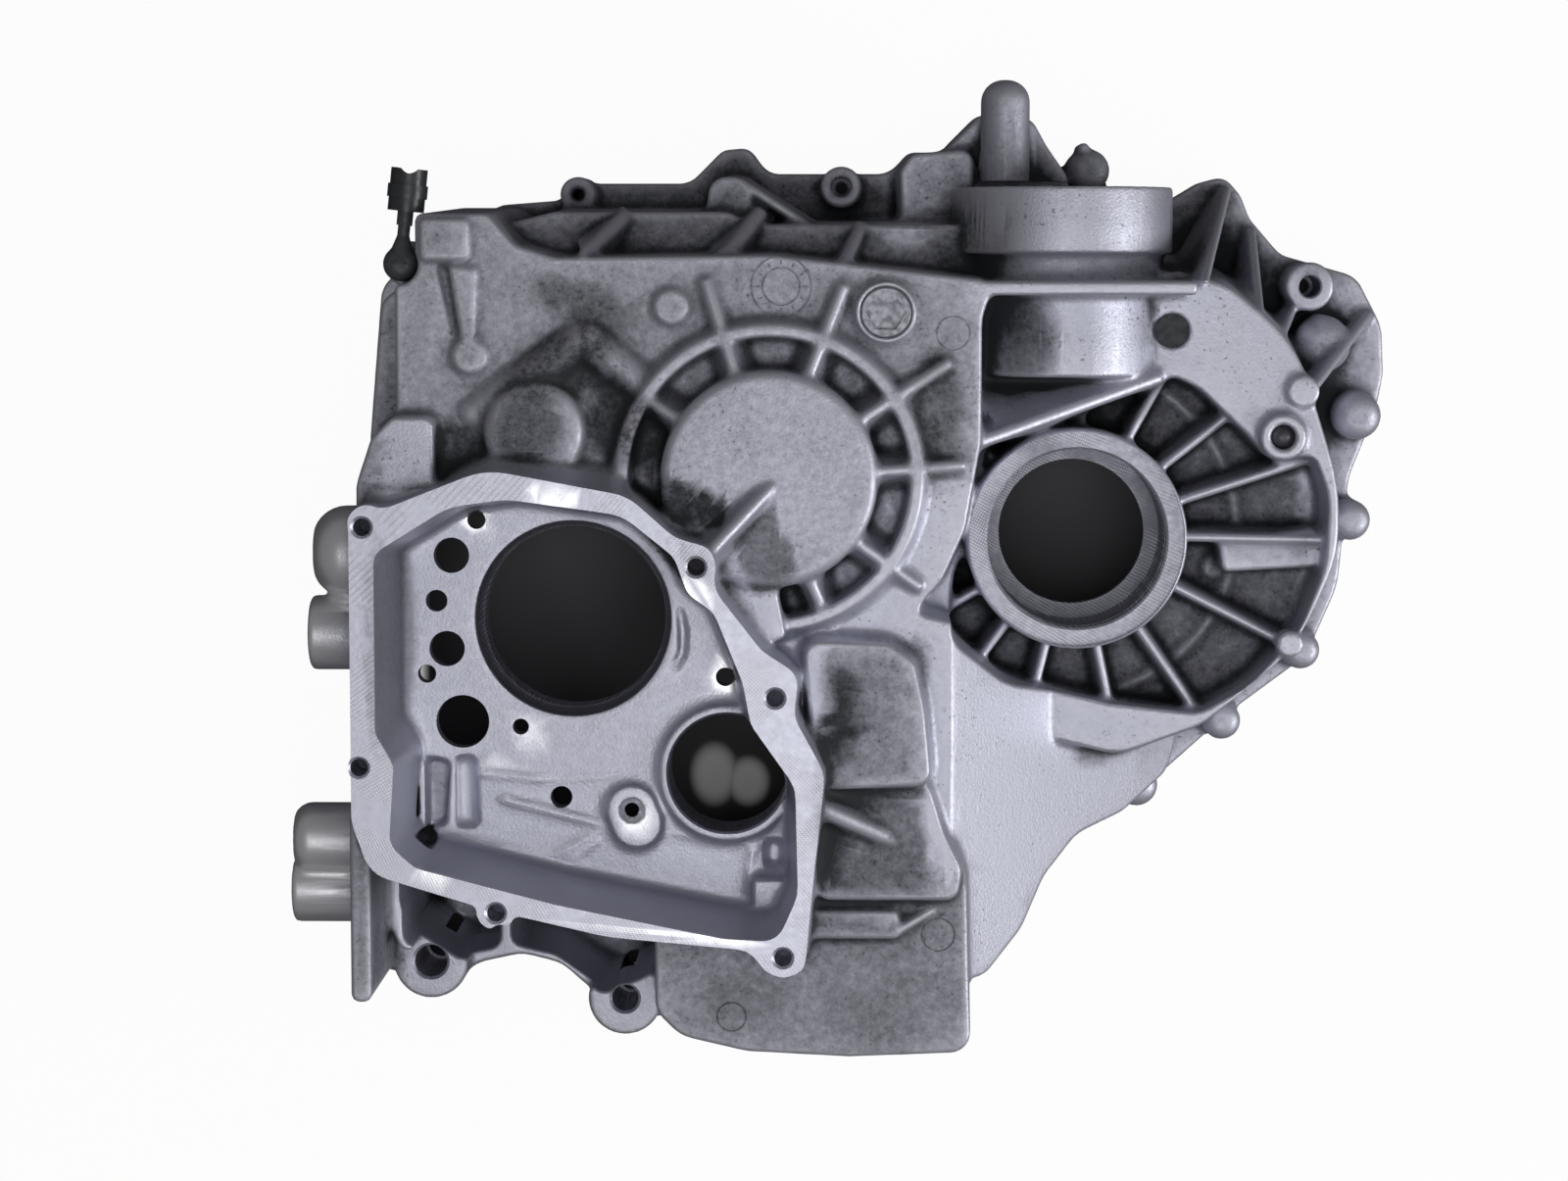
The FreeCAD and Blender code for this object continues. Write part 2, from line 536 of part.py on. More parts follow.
def below_slope(name, drop):
    """All that lies under the neck's sloping face, lowered square to itself by a distance."""
    angle = math.radians(size("neck_angle"))
    top = size("case_height") - drop / math.cos(angle)
    edge = size("neck_edge")
    foot = edge + (top + size("overrun")) / math.tan(angle)
    low, near, far = -size("overrun"), -size("housing_reach"), size("housing_reach")
    section = [(near, low), (near, top), (edge, top), (foot, low)]
    points = [Vector(x, near, z) for x, z in section]
    item = doc.addObject("Part::Feature", name)
    item.Shape = Part.Face(Part.makePolygon(points + points[:1])).extrude(Vector(0, far - near, 0))
    return item


flange = prism("Flange", FLANGE, "Sizes.flange_thickness", "Sizes.flange_thickness")
gear_case = prism("GearCase", GEAR_CASE, "Sizes.case_height", "Sizes.case_height", "Sizes.draft")
ledge = prism("Ledge", LEDGE, "Sizes.ledge_height", "Sizes.ledge_height", "Sizes.draft")
chamber = prism("Chamber", CHAMBER, "Sizes.rim_height", "Sizes.rim_height", "Sizes.draft")
foot = prism("Foot", FOOT, "Sizes.foot_height", "Sizes.foot_height", "Sizes.draft")
diff_case = prism(
    "DiffCase", DIFF_CASE, "Sizes.diff_height", "Sizes.diff_height", "Sizes.wide_draft"
)
neck = common(
    "Neck", prism("NeckBlock", NECK, "Sizes.case_height", "Sizes.case_height"), below_slope("NeckSlope", 0)
)
outer = [flange, gear_case, ledge, chamber, foot, diff_case, neck]

# Bolt lugs, bosses and stiffening ribs of the outside

for number, (x, y, radius, height, hole) in enumerate(LUGS, start=1):
    lug = cylinder("Lug%d" % number, x, y, 0, radius, height)
    outer.append(lug if hole else rounded("BlindLug%d" % number, lug, UP, 0.7 * radius))
for number, (x, y, radius, hole) in enumerate(FOOT_LUGS, start=1):
    outer.append(cylinder("FootLug%d" % number, x, y, 0, radius, "Sizes.foot_lug_height"))
for number, (bolt, shift) in enumerate(zip(RIM_BOLTS, RIM_BOSS_SHIFT), start=1):
    outer.append(
        cylinder(
            "RimBoss%d" % number, bolt[0] + shift[0], bolt[1] + shift[1],
            "Sizes.rim_height - Sizes.rim_boss_depth", "Sizes.rim_boss_radius", "Sizes.rim_boss_depth",
        )
    )
outer += [
    prism("UpperStep", UPPER_STEP, "Sizes.case_height + Sizes.step_rise", "Sizes.step_rise + Sizes.wall",
          "Sizes.step_draft"),
    prism("LowerStep", LOWER_STEP, "Sizes.case_height + Sizes.low_step_rise",
          "Sizes.low_step_rise + Sizes.wall", "Sizes.step_draft"),
    prism("Skirt", SKIRT, "Sizes.rim_height - Sizes.skirt_drop",
          "Sizes.rim_height - Sizes.skirt_drop - Sizes.case_height + Sizes.wall / 2", "Sizes.skirt_draft"),
    prism("CornerFlare", CORNER_FLARE, "Sizes.rim_height - Sizes.flare_drop",
          "Sizes.rim_height - Sizes.flare_drop", "Sizes.draft"),
    prism("FootWeb", FOOT_WEB, "Sizes.foot_web_height", "Sizes.foot_web_height"),
    prism("SidePlate", SIDE_PLATE, "Sizes.side_plate_height", "Sizes.side_plate_height"),
    prism("Column", COLUMN, "Sizes.column_height", "Sizes.column_height", "Sizes.draft"),
    prism("FlankBoss", FLANK_BOSS, "Sizes.flank_boss_height", "Sizes.flank_boss_height", "Sizes.draft"),
    prism("TowerFlare", TOWER_FLARE, "Sizes.flare_height", "Sizes.flare_height", "Sizes.draft"),
    prism("CornerPad", CORNER_PAD, "Sizes.case_height + Sizes.pad_height", "Sizes.pad_height + Sizes.wall"),
    prism("Tab", TAB, "Sizes.case_height + 2 * Sizes.pad_height", "2 * Sizes.pad_height + Sizes.wall"),
    prism("WedgeTab", WEDGE_TAB, "Sizes.case_height + Sizes.pad_height", "Sizes.pad_height + Sizes.wall"),
]
for number, form in enumerate(RIBS, start=1):
    outer.append(rib("Rib%d" % number, *form))

tower = cylinder("TowerBar", "Sizes.tower_x", "Sizes.tower_start", "Sizes.tower_z", "Sizes.tower_radius",
                 "Sizes.tower_end + Sizes.tower_radius - Sizes.tower_start", ACROSS)
outer.append(rounded("Tower", tower, ACROSS, 0.9 * size("tower_radius")))
for number, (x, y, height, radius) in enumerate(BLISTERS, start=1):
    blister = cylinder("BlisterFoot%d" % number, x, y, 0, radius, height)
    outer.append(rounded("Blister%d" % number, blister, UP, 0.8 * radius))

# Lobed selector bosses on the left side, bored from their ends
for number, (y, z, radius, end, rounding) in enumerate(SIDE_BOSSES, start=1):
    bar = cylinder("SideBar%d" % number, "Sizes.side_boss_root", y, z, radius,
                   "Sizes.side_boss_root - %g" % end, OUTWARDS)
    outer.append(rounded("SideBoss%d" % number, bar, OUTWARDS, rounding))

# Oil gallery: two round bars under the skin that meet at a knee, and the round boss below it
knee = Vector(*GALLERY[1])
for number, end in enumerate((GALLERY[0], GALLERY[2]), start=1):
    run = knee - Vector(*end)
    beyond = run.normalize() * size("gallery_radius") * 0.6
    length = (knee - Vector(*end)).Length + 2 * beyond.Length
    start = Vector(*end) - beyond
    bar = cylinder("GalleryBar%d" % number, *start, "Sizes.gallery_radius", length, beyond)
    outer.append(rounded("Gallery%d" % number, bar, beyond, 0.9 * size("gallery_radius"), both=True))

low_skin = "(Sizes.case_height - Sizes.wall / 2)"
outer.append(
    cylinder("BreatherBoss", "Sizes.breather_x", "Sizes.breather_y", "Sizes.ledge_height - Sizes.wall",
             "Sizes.breather_boss", "Sizes.breather_seat - Sizes.ledge_height + Sizes.wall")
)
round_boss = cylinder("RoundBossDisc", "Sizes.round_boss_x", "Sizes.round_boss_y", low_skin,
                      "Sizes.round_boss_radius", "Sizes.round_boss_height + Sizes.wall / 2")
outer.append(rounded("RoundBoss", round_boss, UP, size("dome_round")))
for number, (x, y, radius) in enumerate(EJECTOR_PADS, start=1):
    outer.append(
        cylinder("EjectorPad%d" % number, x, y, low_skin, radius, "Sizes.pad_height + Sizes.wall / 2")
    )

# Domed bearing cover: disc, ring wall and the ribs that join them to the end face

groove_floor = "(Sizes.case_height - Sizes.groove_depth)"
dome_disc = cylinder("DomeDisc", "Sizes.dome_x", "Sizes.dome_y", groove_floor + " - Sizes.wall",
                     "Sizes.dome_radius", "Sizes.dome_rise + Sizes.groove_depth + Sizes.wall")
dome = rounded("Dome", dome_disc, UP, size("dome_round"))
ring_wall = cut(
    "RingWall",
    cone("RingOuter", "Sizes.dome_x", "Sizes.dome_y", groove_floor + " - Sizes.wall",
         "Sizes.ring_radius + Sizes.ring_flare", "Sizes.ring_radius",
         "Sizes.ring_rise + Sizes.groove_depth + Sizes.wall"),
    [cylinder("RingInner", "Sizes.dome_x", "Sizes.dome_y", groove_floor + " - 2 * Sizes.wall",
              "Sizes.ring_radius - Sizes.ring_width", "Sizes.case_height")],
)
dome_ribs = []
dome_axis = Vector(size("dome_x"), size("dome_y"), 0)
for number, (x, y) in enumerate(DOME_RIB_TIPS, start=1):
    outwards = (Vector(x, y, 0) - dome_axis).normalize()
    start = dome_axis + outwards * (size("dome_radius") - size("wall"))
    crest = case_top + size("dome_rib_rise")
    dome_ribs.append(
        rib("DomeRib%d" % number, (start.x, start.y, crest), (x, y, crest - size("rib_fall")),
            case_top - size("groove_depth") - size("wall"), size("dome_rib_width"), size("dome_rib_draft"))
    )
boss_x, boss_y = RIM_BOLTS[-1]
dome_ribs.append(
    rib("DomeRibToRim", (boss_x, boss_y, rim_top), (*RIM_RIB_END, case_top + size("dome_rise") + 1),
        case_top, size("dome_rib_width"), size("dome_rib_draft"))
)
dome_corner = prism("DomeCorner", DOME_CORNER, "Sizes.case_height + Sizes.dome_rib_rise",
                    "Sizes.dome_rib_rise + Sizes.groove_depth + Sizes.wall / 2")
plug_boss = cylinder("PlugBoss", "Sizes.plug_x", "Sizes.plug_y", low_skin, "Sizes.plug_boss_radius",
                     "Sizes.plug_boss_rise + Sizes.wall / 2")
outer += [dome, ring_wall, dome_corner, plug_boss] + dome_ribs
block = fuse("Block", outer)

# The hollow inside, one wall in from the outer forms and open at the joint face

def hollow(name, corners, top, draft=None, thickness="wall"):
    """The space under an outline moved in by a wall, from a height down past the joint face."""
    return prism(name, inset(corners, size(thickness)), top, top + " + Sizes.overrun", draft)


neck_space = common(
    "NeckSpace", hollow("NeckSpaceBlock", NECK, "Sizes.case_height"),
    below_slope("NeckSpaceSlope", size("wall")),
)
floor_under = "Sizes.floor_height - Sizes.floor_thickness"
hollows = [
    hollow("GearSpace", GEAR_CASE, "Sizes.case_height - Sizes.wall", "Sizes.draft"),
    hollow("LedgeSpace", LEDGE, "Sizes.ledge_height - Sizes.wall", "Sizes.draft"),
    hollow("ChamberSpace", CHAMBER, floor_under, "Sizes.draft", "chamber_wall"),
    hollow("DiffSpace", DIFF_CASE, "Sizes.web_height - Sizes.web_thickness", "Sizes.wide_draft"),
    prism("CrescentSpace", CRESCENT_SPACE, "Sizes.diff_height - Sizes.wall",
          "Sizes.diff_height - Sizes.web_height + Sizes.wall"),
    prism("PocketSpace", POCKET, "Sizes.pocket_height - Sizes.wall",
          "Sizes.pocket_height - Sizes.web_height + Sizes.wall"),
    neck_space,
]
kept = [
    prism("ChamberKept", CHAMBER, "Sizes.rim_height", "Sizes.rim_height - (%s)" % floor_under, "Sizes.draft"),
    prism("RecessKept", inset(DIFF_RECESS, -size("wall")), "Sizes.rim_height",
          "Sizes.rim_height - Sizes.web_height + Sizes.web_thickness"),
]
inner_space = cut("InnerSpace", fuse("Spaces", hollows), kept)
shell = cut("Shell", block, [inner_space])

# Seats, tubs and backings that stand inside the hollow

inside = [
    cylinder("MainSeat", "Sizes.main_bore_x", "Sizes.main_bore_y", "Sizes.floor_height - Sizes.seat_depth",
             "Sizes.main_bore_radius + Sizes.seat_wall", "Sizes.seat_depth"),
    cylinder("SecondSeat", "Sizes.second_bore_x", "Sizes.second_bore_y",
             "Sizes.floor_height - Sizes.seat_depth", "Sizes.second_bore_radius + Sizes.seat_wall",
             "Sizes.seat_depth + Sizes.bore_lip"),
    cylinder("GrooveBacking", "Sizes.dome_x", "Sizes.dome_y", groove_floor + " - Sizes.wall",
             "Sizes.ring_radius", "Sizes.groove_depth"),
    cylinder("DomeSeat", "Sizes.dome_x", "Sizes.dome_y", "Sizes.case_height - Sizes.wall - Sizes.seat_depth",
             "Sizes.dome_seat_radius + Sizes.seat_wall", "Sizes.seat_depth"),
    cylinder("PlugSleeve", "Sizes.plug_x", "Sizes.plug_y", "Sizes.case_height - 3 * Sizes.wall",
             "Sizes.plug_thread_radius + Sizes.wall", "2.5 * Sizes.wall"),
    cylinder("FloorBoss", *FLOOR_BOSS, "Sizes.floor_height - Sizes.floor_thickness",
             "Sizes.floor_boss_radius",
             "Sizes.floor_thickness + Sizes.bore_lip"),
]
body_with_seats = fuse("BodyWithSeats", [shell] + inside)

# What is cut from above: chamber, trough, groove, differential recess, pocket and foot pockets

floor_up = "Sizes.rim_height - Sizes.floor_height + Sizes.overrun"
above_rim = "Sizes.rim_height + Sizes.overrun"
chamber_hollow = prism("ChamberHollow", CHAMBER_HOLLOW, above_rim, floor_up, "Sizes.chamber_draft",
                       narrowing=True)
collar = cylinder("Collar", "Sizes.second_bore_x", "Sizes.second_bore_y", "Sizes.floor_height",
                  "Sizes.second_bore_radius + Sizes.seat_wall - Sizes.collar_step", "Sizes.bore_lip")
spot_face = cylinder("FloorBossTop", *FLOOR_BOSS, "Sizes.floor_height", "Sizes.floor_boss_radius",
                     "Sizes.bore_lip")
boss_tail = cylinder("FloorBossTail", *FLOOR_BOSS_TAIL, "Sizes.floor_height", "Sizes.floor_boss_radius",
                     "Sizes.bore_lip")
end_block = prism("EndBlock", END_BLOCK, "Sizes.floor_height + 2 * Sizes.wall", "2 * Sizes.wall")
chamber_cut = cut("ChamberCut", chamber_hollow, [collar, spot_face, boss_tail, end_block])
wedge_groove = prism("WedgeGroove", WEDGE_GROOVE, "Sizes.case_height + Sizes.overrun",
                     "Sizes.pad_height + Sizes.overrun")
groove_ring = cut(
    "GrooveRing",
    cylinder("GrooveOuter", "Sizes.dome_x", "Sizes.dome_y", groove_floor,
             "Sizes.ring_radius - Sizes.ring_width", "Sizes.rim_height"),
    [cylinder("GrooveInner", "Sizes.dome_x", "Sizes.dome_y", groove_floor, "Sizes.dome_radius",
              "Sizes.rim_height")] + dome_ribs + [chamber, dome_corner],
)
recess = prism("Recess", DIFF_RECESS, above_rim, "Sizes.rim_height - Sizes.web_height + Sizes.overrun")
pocket = prism("Pocket", POCKET, above_rim, "Sizes.rim_height - Sizes.pocket_height + Sizes.overrun")
pockets = [
    prism("FootPocket%d" % (number + 1), corners, above_rim, "Sizes.rim_height - Sizes.foot_floor")
    for number, corners in enumerate(FOOT_POCKETS)
]
cuts_from_above = [chamber_cut, wedge_groove, groove_ring, recess, pocket]
open_body = cut("OpenBody", body_with_seats, cuts_from_above + pockets)

# What stands in the recess and the pocket
diff_axis = Vector(size("diff_x"), size("diff_y"), 0)
spokes = []
for number, direction in enumerate(SPOKES):
    ray = Vector(math.cos(math.radians(direction)), math.sin(math.radians(direction)), 0)
    near = diff_axis + ray * (size("diff_ring_radius") - size("wall"))
    far = diff_axis + ray * size("diff_rib_reach")
    crest = size("diff_rib_height")
    spokes.append(rib("Spoke%d" % (number + 1), (near.x, near.y, crest), (far.x, far.y, crest),
                      size("web_height") - size("wall") / 2, size("spoke_width")))
spoke_room = prism("SpokeRoom", inset(DIFF_RECESS, -size("wall") / 2), "Sizes.diff_height",
                   "Sizes.diff_height - Sizes.web_height + Sizes.wall")
spokes_in_recess = common("SpokesInRecess", fuse("Spokes", spokes), spoke_room)
seat_low = "Sizes.web_height - Sizes.seat_depth"
diff_ring = cylinder("DiffRing", "Sizes.diff_x", "Sizes.diff_y", seat_low, "Sizes.diff_ring_radius",
                     "Sizes.diff_ring_height - Sizes.web_height + Sizes.seat_depth")
cross_boss = cylinder("CrossBoss", "Sizes.cross_x", "Sizes.cross_start", "Sizes.cross_z",
                      "Sizes.cross_radius", "Sizes.plate_y - Sizes.cross_start", ACROSS)
collar_bar = cylinder("CrossCollarBar", "Sizes.cross_x", "Sizes.plate_y", "Sizes.cross_z",
                      "Sizes.cross_radius + Sizes.cross_collar", "Sizes.cross_end - Sizes.plate_y", ACROSS)
cross_collar = rounded("CrossCollar", collar_bar, ACROSS, size("cross_edge"))
plate_back = size("plate_y") - size("plate_thickness")
plate_corners = [(PLATE_ENDS[0], plate_back, 1), (PLATE_ENDS[1], plate_back, 1),
                 (PLATE_ENDS[1], size("plate_y"), 1), (PLATE_ENDS[0], size("plate_y"), 1)]
plate = prism("Plate", plate_corners, "Sizes.case_height",
              "Sizes.case_height - Sizes.pocket_height + Sizes.wall")
partition = rib("Partition", *PARTITION, size("pocket_height") - size("wall"), size("plate_thickness"))
pocket_room = prism("PocketRoom", inset(POCKET, -size("wall") / 2), "Sizes.case_height",
                    "Sizes.case_height - Sizes.pocket_height + Sizes.wall / 2")
slope_rib = rib("PocketSlopeRib", *PARTITION, size("pocket_height") - size("wall"), size("plate_thickness"),
                size("pocket_slope"))
pocket_slope = common("PocketSlope", slope_rib, pocket_room)
ridge = cut(
    "WebRidge",
    cylinder("RidgeOuter", "Sizes.diff_x", "Sizes.diff_y", "Sizes.web_height - Sizes.wall / 2",
             "Sizes.web_ridge_radius + Sizes.web_ridge_width", "Sizes.web_ridge_height + Sizes.wall / 2"),
    [cylinder("RidgeInner", "Sizes.diff_x", "Sizes.diff_y", "Sizes.web_height - Sizes.wall",
              "Sizes.web_ridge_radius", "2 * Sizes.wall")],
)
ridge_in_recess = common("WebRidgeInRecess", ridge, spoke_room)
recess_pieces = [
    cylinder("StopBoss", *STOP_BOSS, "Sizes.web_height - Sizes.wall / 2", STOP_BOSS_RADIUS,
             "1.5 * Sizes.wall"),
    pocket_slope,
    cylinder("WebPad", *WEB_PAD, "Sizes.web_height - Sizes.wall / 2", WEB_PAD_RADIUS,
             "Sizes.pad_height + Sizes.wall / 2"),
    prism("RibBlock", RIB_BLOCK, "Sizes.diff_rib_height - Sizes.wall / 2",
          "Sizes.diff_rib_height - Sizes.web_height"),
    cylinder("BallBoss", "Sizes.ball_x", "Sizes.ball_y", "Sizes.diff_height - Sizes.wall / 2",
             "Sizes.ball_boss_radius", "Sizes.ball_boss_height + Sizes.wall / 2"),
    cylinder("BallSleeve", "Sizes.ball_x", "Sizes.ball_y", "Sizes.diff_height - 3 * Sizes.wall",
             "Sizes.ball_boss_radius", "2.5 * Sizes.wall"),
    cylinder("CorePlugSleeve", "Sizes.core_plug_x", "Sizes.core_plug_y",
             "Sizes.diff_height - 2 * Sizes.wall", "Sizes.core_plug_radius + Sizes.wall / 2",
             "1.5 * Sizes.wall"),
]
for number, (x, y, radius) in enumerate(RIM_PADS, start=1):
    recess_pieces.append(
        cylinder("RimPad%d" % number, x, y, "Sizes.diff_height - 2 * Sizes.wall", radius,
                 "Sizes.pad_height + 2 * Sizes.wall")
    )
full_body = fuse(
    "FullBody",
    [open_body, spokes_in_recess, ridge_in_recess, diff_ring, cross_boss, cross_collar, plate, partition]
    + recess_pieces,
)

# Bores and holes


def through(name, x, y, low, radius, high):
    """A hole between two heights, run a little past both."""
    start = "%s - Sizes.overrun" % low
    return cylinder(name, x, y, start, radius, "%s - (%s) + 2 * Sizes.overrun" % (high, low))


BALL_CENTRE = "Sizes.diff_height + Sizes.ball_boss_height - Sizes.ball_drop - Sizes.ball_radius"
main_bore = ("Sizes.main_bore_x", "Sizes.main_bore_y")
second_bore = ("Sizes.second_bore_x", "Sizes.second_bore_y")
diff_bore = ("Sizes.diff_x", "Sizes.diff_y")
bores = [
    through("MainBore", *main_bore, "Sizes.floor_height - Sizes.seat_depth", "Sizes.main_bore_radius",
            "Sizes.floor_height"),
    cone("MainMouth", *main_bore, "Sizes.floor_height - Sizes.bore_lip", "Sizes.main_bore_radius",
         "Sizes.main_bore_radius + Sizes.bore_lip", "Sizes.bore_lip"),
    through("SecondBore", *second_bore, "Sizes.floor_height - Sizes.seat_depth",
            "Sizes.second_bore_radius", "(Sizes.floor_height + Sizes.bore_lip)"),
    through("ShaftBore", *diff_bore, seat_low, "Sizes.shaft_radius", "Sizes.diff_ring_height"),
    cylinder("SealSeat", *diff_bore, "Sizes.diff_ring_height - Sizes.seal_depth", "Sizes.seal_radius",
             "Sizes.seal_depth + Sizes.overrun"),
    cylinder("DiffBearingSeat", *diff_bore, seat_low + " - Sizes.overrun", "Sizes.seal_radius",
             "Sizes.seat_depth"),
    cylinder("DomeSpace", "Sizes.dome_x", "Sizes.dome_y",
             "Sizes.case_height - Sizes.wall - Sizes.seat_depth - Sizes.overrun", "Sizes.dome_seat_radius",
             "Sizes.dome_rise + Sizes.seat_depth + Sizes.overrun"),
    cylinder("CrossBore", "Sizes.cross_x", "Sizes.cross_end - Sizes.cross_bore_depth", "Sizes.cross_z",
             "Sizes.cross_bore_radius", "Sizes.cross_bore_depth + Sizes.overrun", ACROSS),
    through("PlugHole", "Sizes.plug_x", "Sizes.plug_y", "Sizes.case_height - 3 * Sizes.wall",
            "Sizes.plug_thread_radius + Sizes.fit_gap", "Sizes.case_height"),
    cylinder("PlugCounterbore", "Sizes.plug_x", "Sizes.plug_y", "Sizes.case_height",
             "Sizes.plug_head_radius + Sizes.fit_gap", "Sizes.plug_boss_rise + Sizes.overrun"),
    cylinder("CorePlugHole", "Sizes.core_plug_x", "Sizes.core_plug_y",
             "Sizes.diff_height - Sizes.core_plug_depth - Sizes.core_plug_drop",
             "Sizes.core_plug_radius + Sizes.fit_gap",
             "Sizes.core_plug_depth + Sizes.core_plug_drop + Sizes.overrun"),
    cylinder("BallHole", "Sizes.ball_x", "Sizes.ball_y", BALL_CENTRE + " - Sizes.ball_radius - Sizes.overrun",
             "Sizes.ball_radius - Sizes.press_fit", "2 * Sizes.ball_radius + Sizes.ball_drop + Sizes.wall"),
    cylinder("BreatherNotch", "Sizes.breather_x", "Sizes.breather_y", "Sizes.breather_seat",
             "Sizes.breather_notch", "Sizes.rim_height - Sizes.breather_seat"),
    cylinder("BreatherHole", "Sizes.breather_x", "Sizes.breather_y",
             "Sizes.breather_seat - Sizes.breather_reach - Sizes.overrun",
             "Sizes.breather_spigot + Sizes.fit_gap", "Sizes.breather_reach + 2 * Sizes.overrun"),
    cylinder("StopBossHole", *STOP_BOSS, "Sizes.web_height", STOP_BOSS_HOLE, "2 * Sizes.wall"),
    cylinder("OvalHole", *OVAL_HOLE, "Sizes.floor_height + 4 * Sizes.wall - %g" % OVAL_HOLE_DEPTH,
             OVAL_HOLE_RADIUS, OVAL_HOLE_DEPTH),
]
for number, (x, y) in enumerate(RIM_BOLTS, start=1):
    bores.append(
        cylinder("RimBolt%d" % number, x, y, "Sizes.rim_height - Sizes.rim_bolt_depth",
                 "Sizes.rim_bolt_radius", "Sizes.rim_bolt_depth + Sizes.overrun")
    )
for number, (x, y, radius) in enumerate(FLOOR_HOLES, start=1):
    bores.append(
        through("FloorHole%d" % number, x, y, "Sizes.floor_height - Sizes.floor_thickness", radius,
                "Sizes.floor_height + Sizes.bore_lip")
    )
for number, (corners, floor_level) in enumerate(SLOTS, start=1):
    bores.append(
        prism("Slot%d" % number, corners, "Sizes.floor_height + Sizes.overrun",
              "Sizes.floor_height + Sizes.overrun - %g" % floor_level)
    )
for number, (x, y, radius, height, hole) in enumerate(LUGS, start=1):
    if hole:
        bores.append(through("LugHole%d" % number, x, y, "0", hole, "%g" % height))
for number, (x, y, radius, hole) in enumerate(FOOT_LUGS, start=1):
    bores.append(through("FootLugHole%d" % number, x, y, "0", hole, "Sizes.foot_lug_height"))
for number, (y, z, radius, end, rounding) in enumerate(SIDE_BOSSES, start=1):
    bores.append(
        cylinder("SideBore%d" % number, "%g - Sizes.overrun" % end, y, z, "Sizes.side_bore_radius",
                 "Sizes.side_bore_depth + Sizes.overrun", Vector(1, 0, 0))
    )
casting = cut("gearcase_casting", full_body, bores)
casting.Refine = True

# Screw plug with a six-sided socket, its head on the end face

plug_body = fuse("PlugBody", [
    rounded("PlugHead", cylinder("PlugHeadDisc", "Sizes.plug_x", "Sizes.plug_y", "Sizes.case_height",
                                 "Sizes.plug_head_radius", "Sizes.plug_head_height"), UP, size("plug_edge")),
    cylinder("PlugThread", "Sizes.plug_x", "Sizes.plug_y", "Sizes.case_height - Sizes.plug_thread_length",
             "Sizes.plug_thread_radius", "Sizes.plug_thread_length"),
])
socket = doc.addObject("Part::Prism", "PlugSocket")
bind(socket, {
    "Polygon": 6,
    "Circumradius": "Sizes.plug_socket / sqrt(3)",
    "Height": "Sizes.plug_socket_depth + Sizes.overrun",
    "Placement.Base.x": "Sizes.plug_x",
    "Placement.Base.y": "Sizes.plug_y",
    "Placement.Base.z": "Sizes.case_height + Sizes.plug_head_height - Sizes.plug_socket_depth",
})
screw_plug = cut("screw_plug", plug_body, [socket])

# Core plug, a flat disc a little below its face, and the ball pressed into its boss

core_plug = cylinder("core_plug", "Sizes.core_plug_x", "Sizes.core_plug_y",
                     "Sizes.diff_height - Sizes.core_plug_depth - Sizes.core_plug_drop",
                     "Sizes.core_plug_radius", "Sizes.core_plug_depth")
ball_plug = sphere("ball_plug", "Sizes.ball_x", "Sizes.ball_y", BALL_CENTRE, "Sizes.ball_radius")

# Breather: an upright part on its shoulder, a level pipe that leans a little and tapers, and a cap


def pipe_piece(name, start, radius, length, far_radius=None):
    """A round piece of the level pipe, from a distance off the upright. It tapers to far_radius."""
    place = (
        "Sizes.breather_x + (%s) * sin(Sizes.breather_lean)" % start,
        "Sizes.breather_y + (%s) * cos(Sizes.breather_lean)" % start,
        "Sizes.breather_z",
    )
    lean = math.radians(size("breather_lean"))
    direction = Vector(math.sin(lean), math.cos(lean), 0)
    if far_radius:
        return cone(name, *place, radius, far_radius, length, direction)
    return cylinder(name, *place, radius, length, direction)


upright = cylinder("BreatherBar", "Sizes.breather_x", "Sizes.breather_y", "Sizes.breather_seat",
                   "Sizes.breather_radius", "Sizes.breather_top - Sizes.breather_seat")
cap_end = "Sizes.cap_start + Sizes.cap_length"
breather_stem = fuse("breather_stem", [
    rounded("BreatherUpright", upright, UP, 0.7 * size("breather_radius")),
    cylinder("BreatherSpigot", "Sizes.breather_x", "Sizes.breather_y",
             "Sizes.breather_seat - Sizes.breather_reach", "Sizes.breather_spigot", "Sizes.breather_reach"),
    pipe_piece("BreatherTaper", "0", "Sizes.breather_top - Sizes.breather_z + Sizes.overrun",
               "Sizes.breather_taper", "Sizes.breather_pipe"),
    pipe_piece("BreatherPipe", "Sizes.breather_taper", "Sizes.breather_pipe",
               "Sizes.breather_pipe_end - Sizes.breather_taper"),
    pipe_piece("BreatherNeck", "Sizes.breather_pipe_end", "Sizes.breather_neck",
               "Sizes.cap_start + Sizes.cap_seat - Sizes.breather_pipe_end"),
])
cap_body = fuse("CapBody", [
    pipe_piece("CapSkirt", "Sizes.cap_start", "Sizes.cap_radius", "Sizes.cap_band_length"),
    pipe_piece("CapBand", "Sizes.cap_start + Sizes.cap_band_length", "Sizes.cap_band_radius",
               "Sizes.cap_band_length"),
    pipe_piece("CapHead", "Sizes.cap_start", "Sizes.cap_head_radius", "Sizes.cap_length"),
])
cap_bore = pipe_piece("CapBore", "Sizes.cap_start - Sizes.overrun", "Sizes.breather_neck + Sizes.fit_gap",
                      "Sizes.cap_seat + Sizes.overrun")
dip_at = "(%s + Sizes.cap_dip - Sizes.cap_dip_depth)" % cap_end
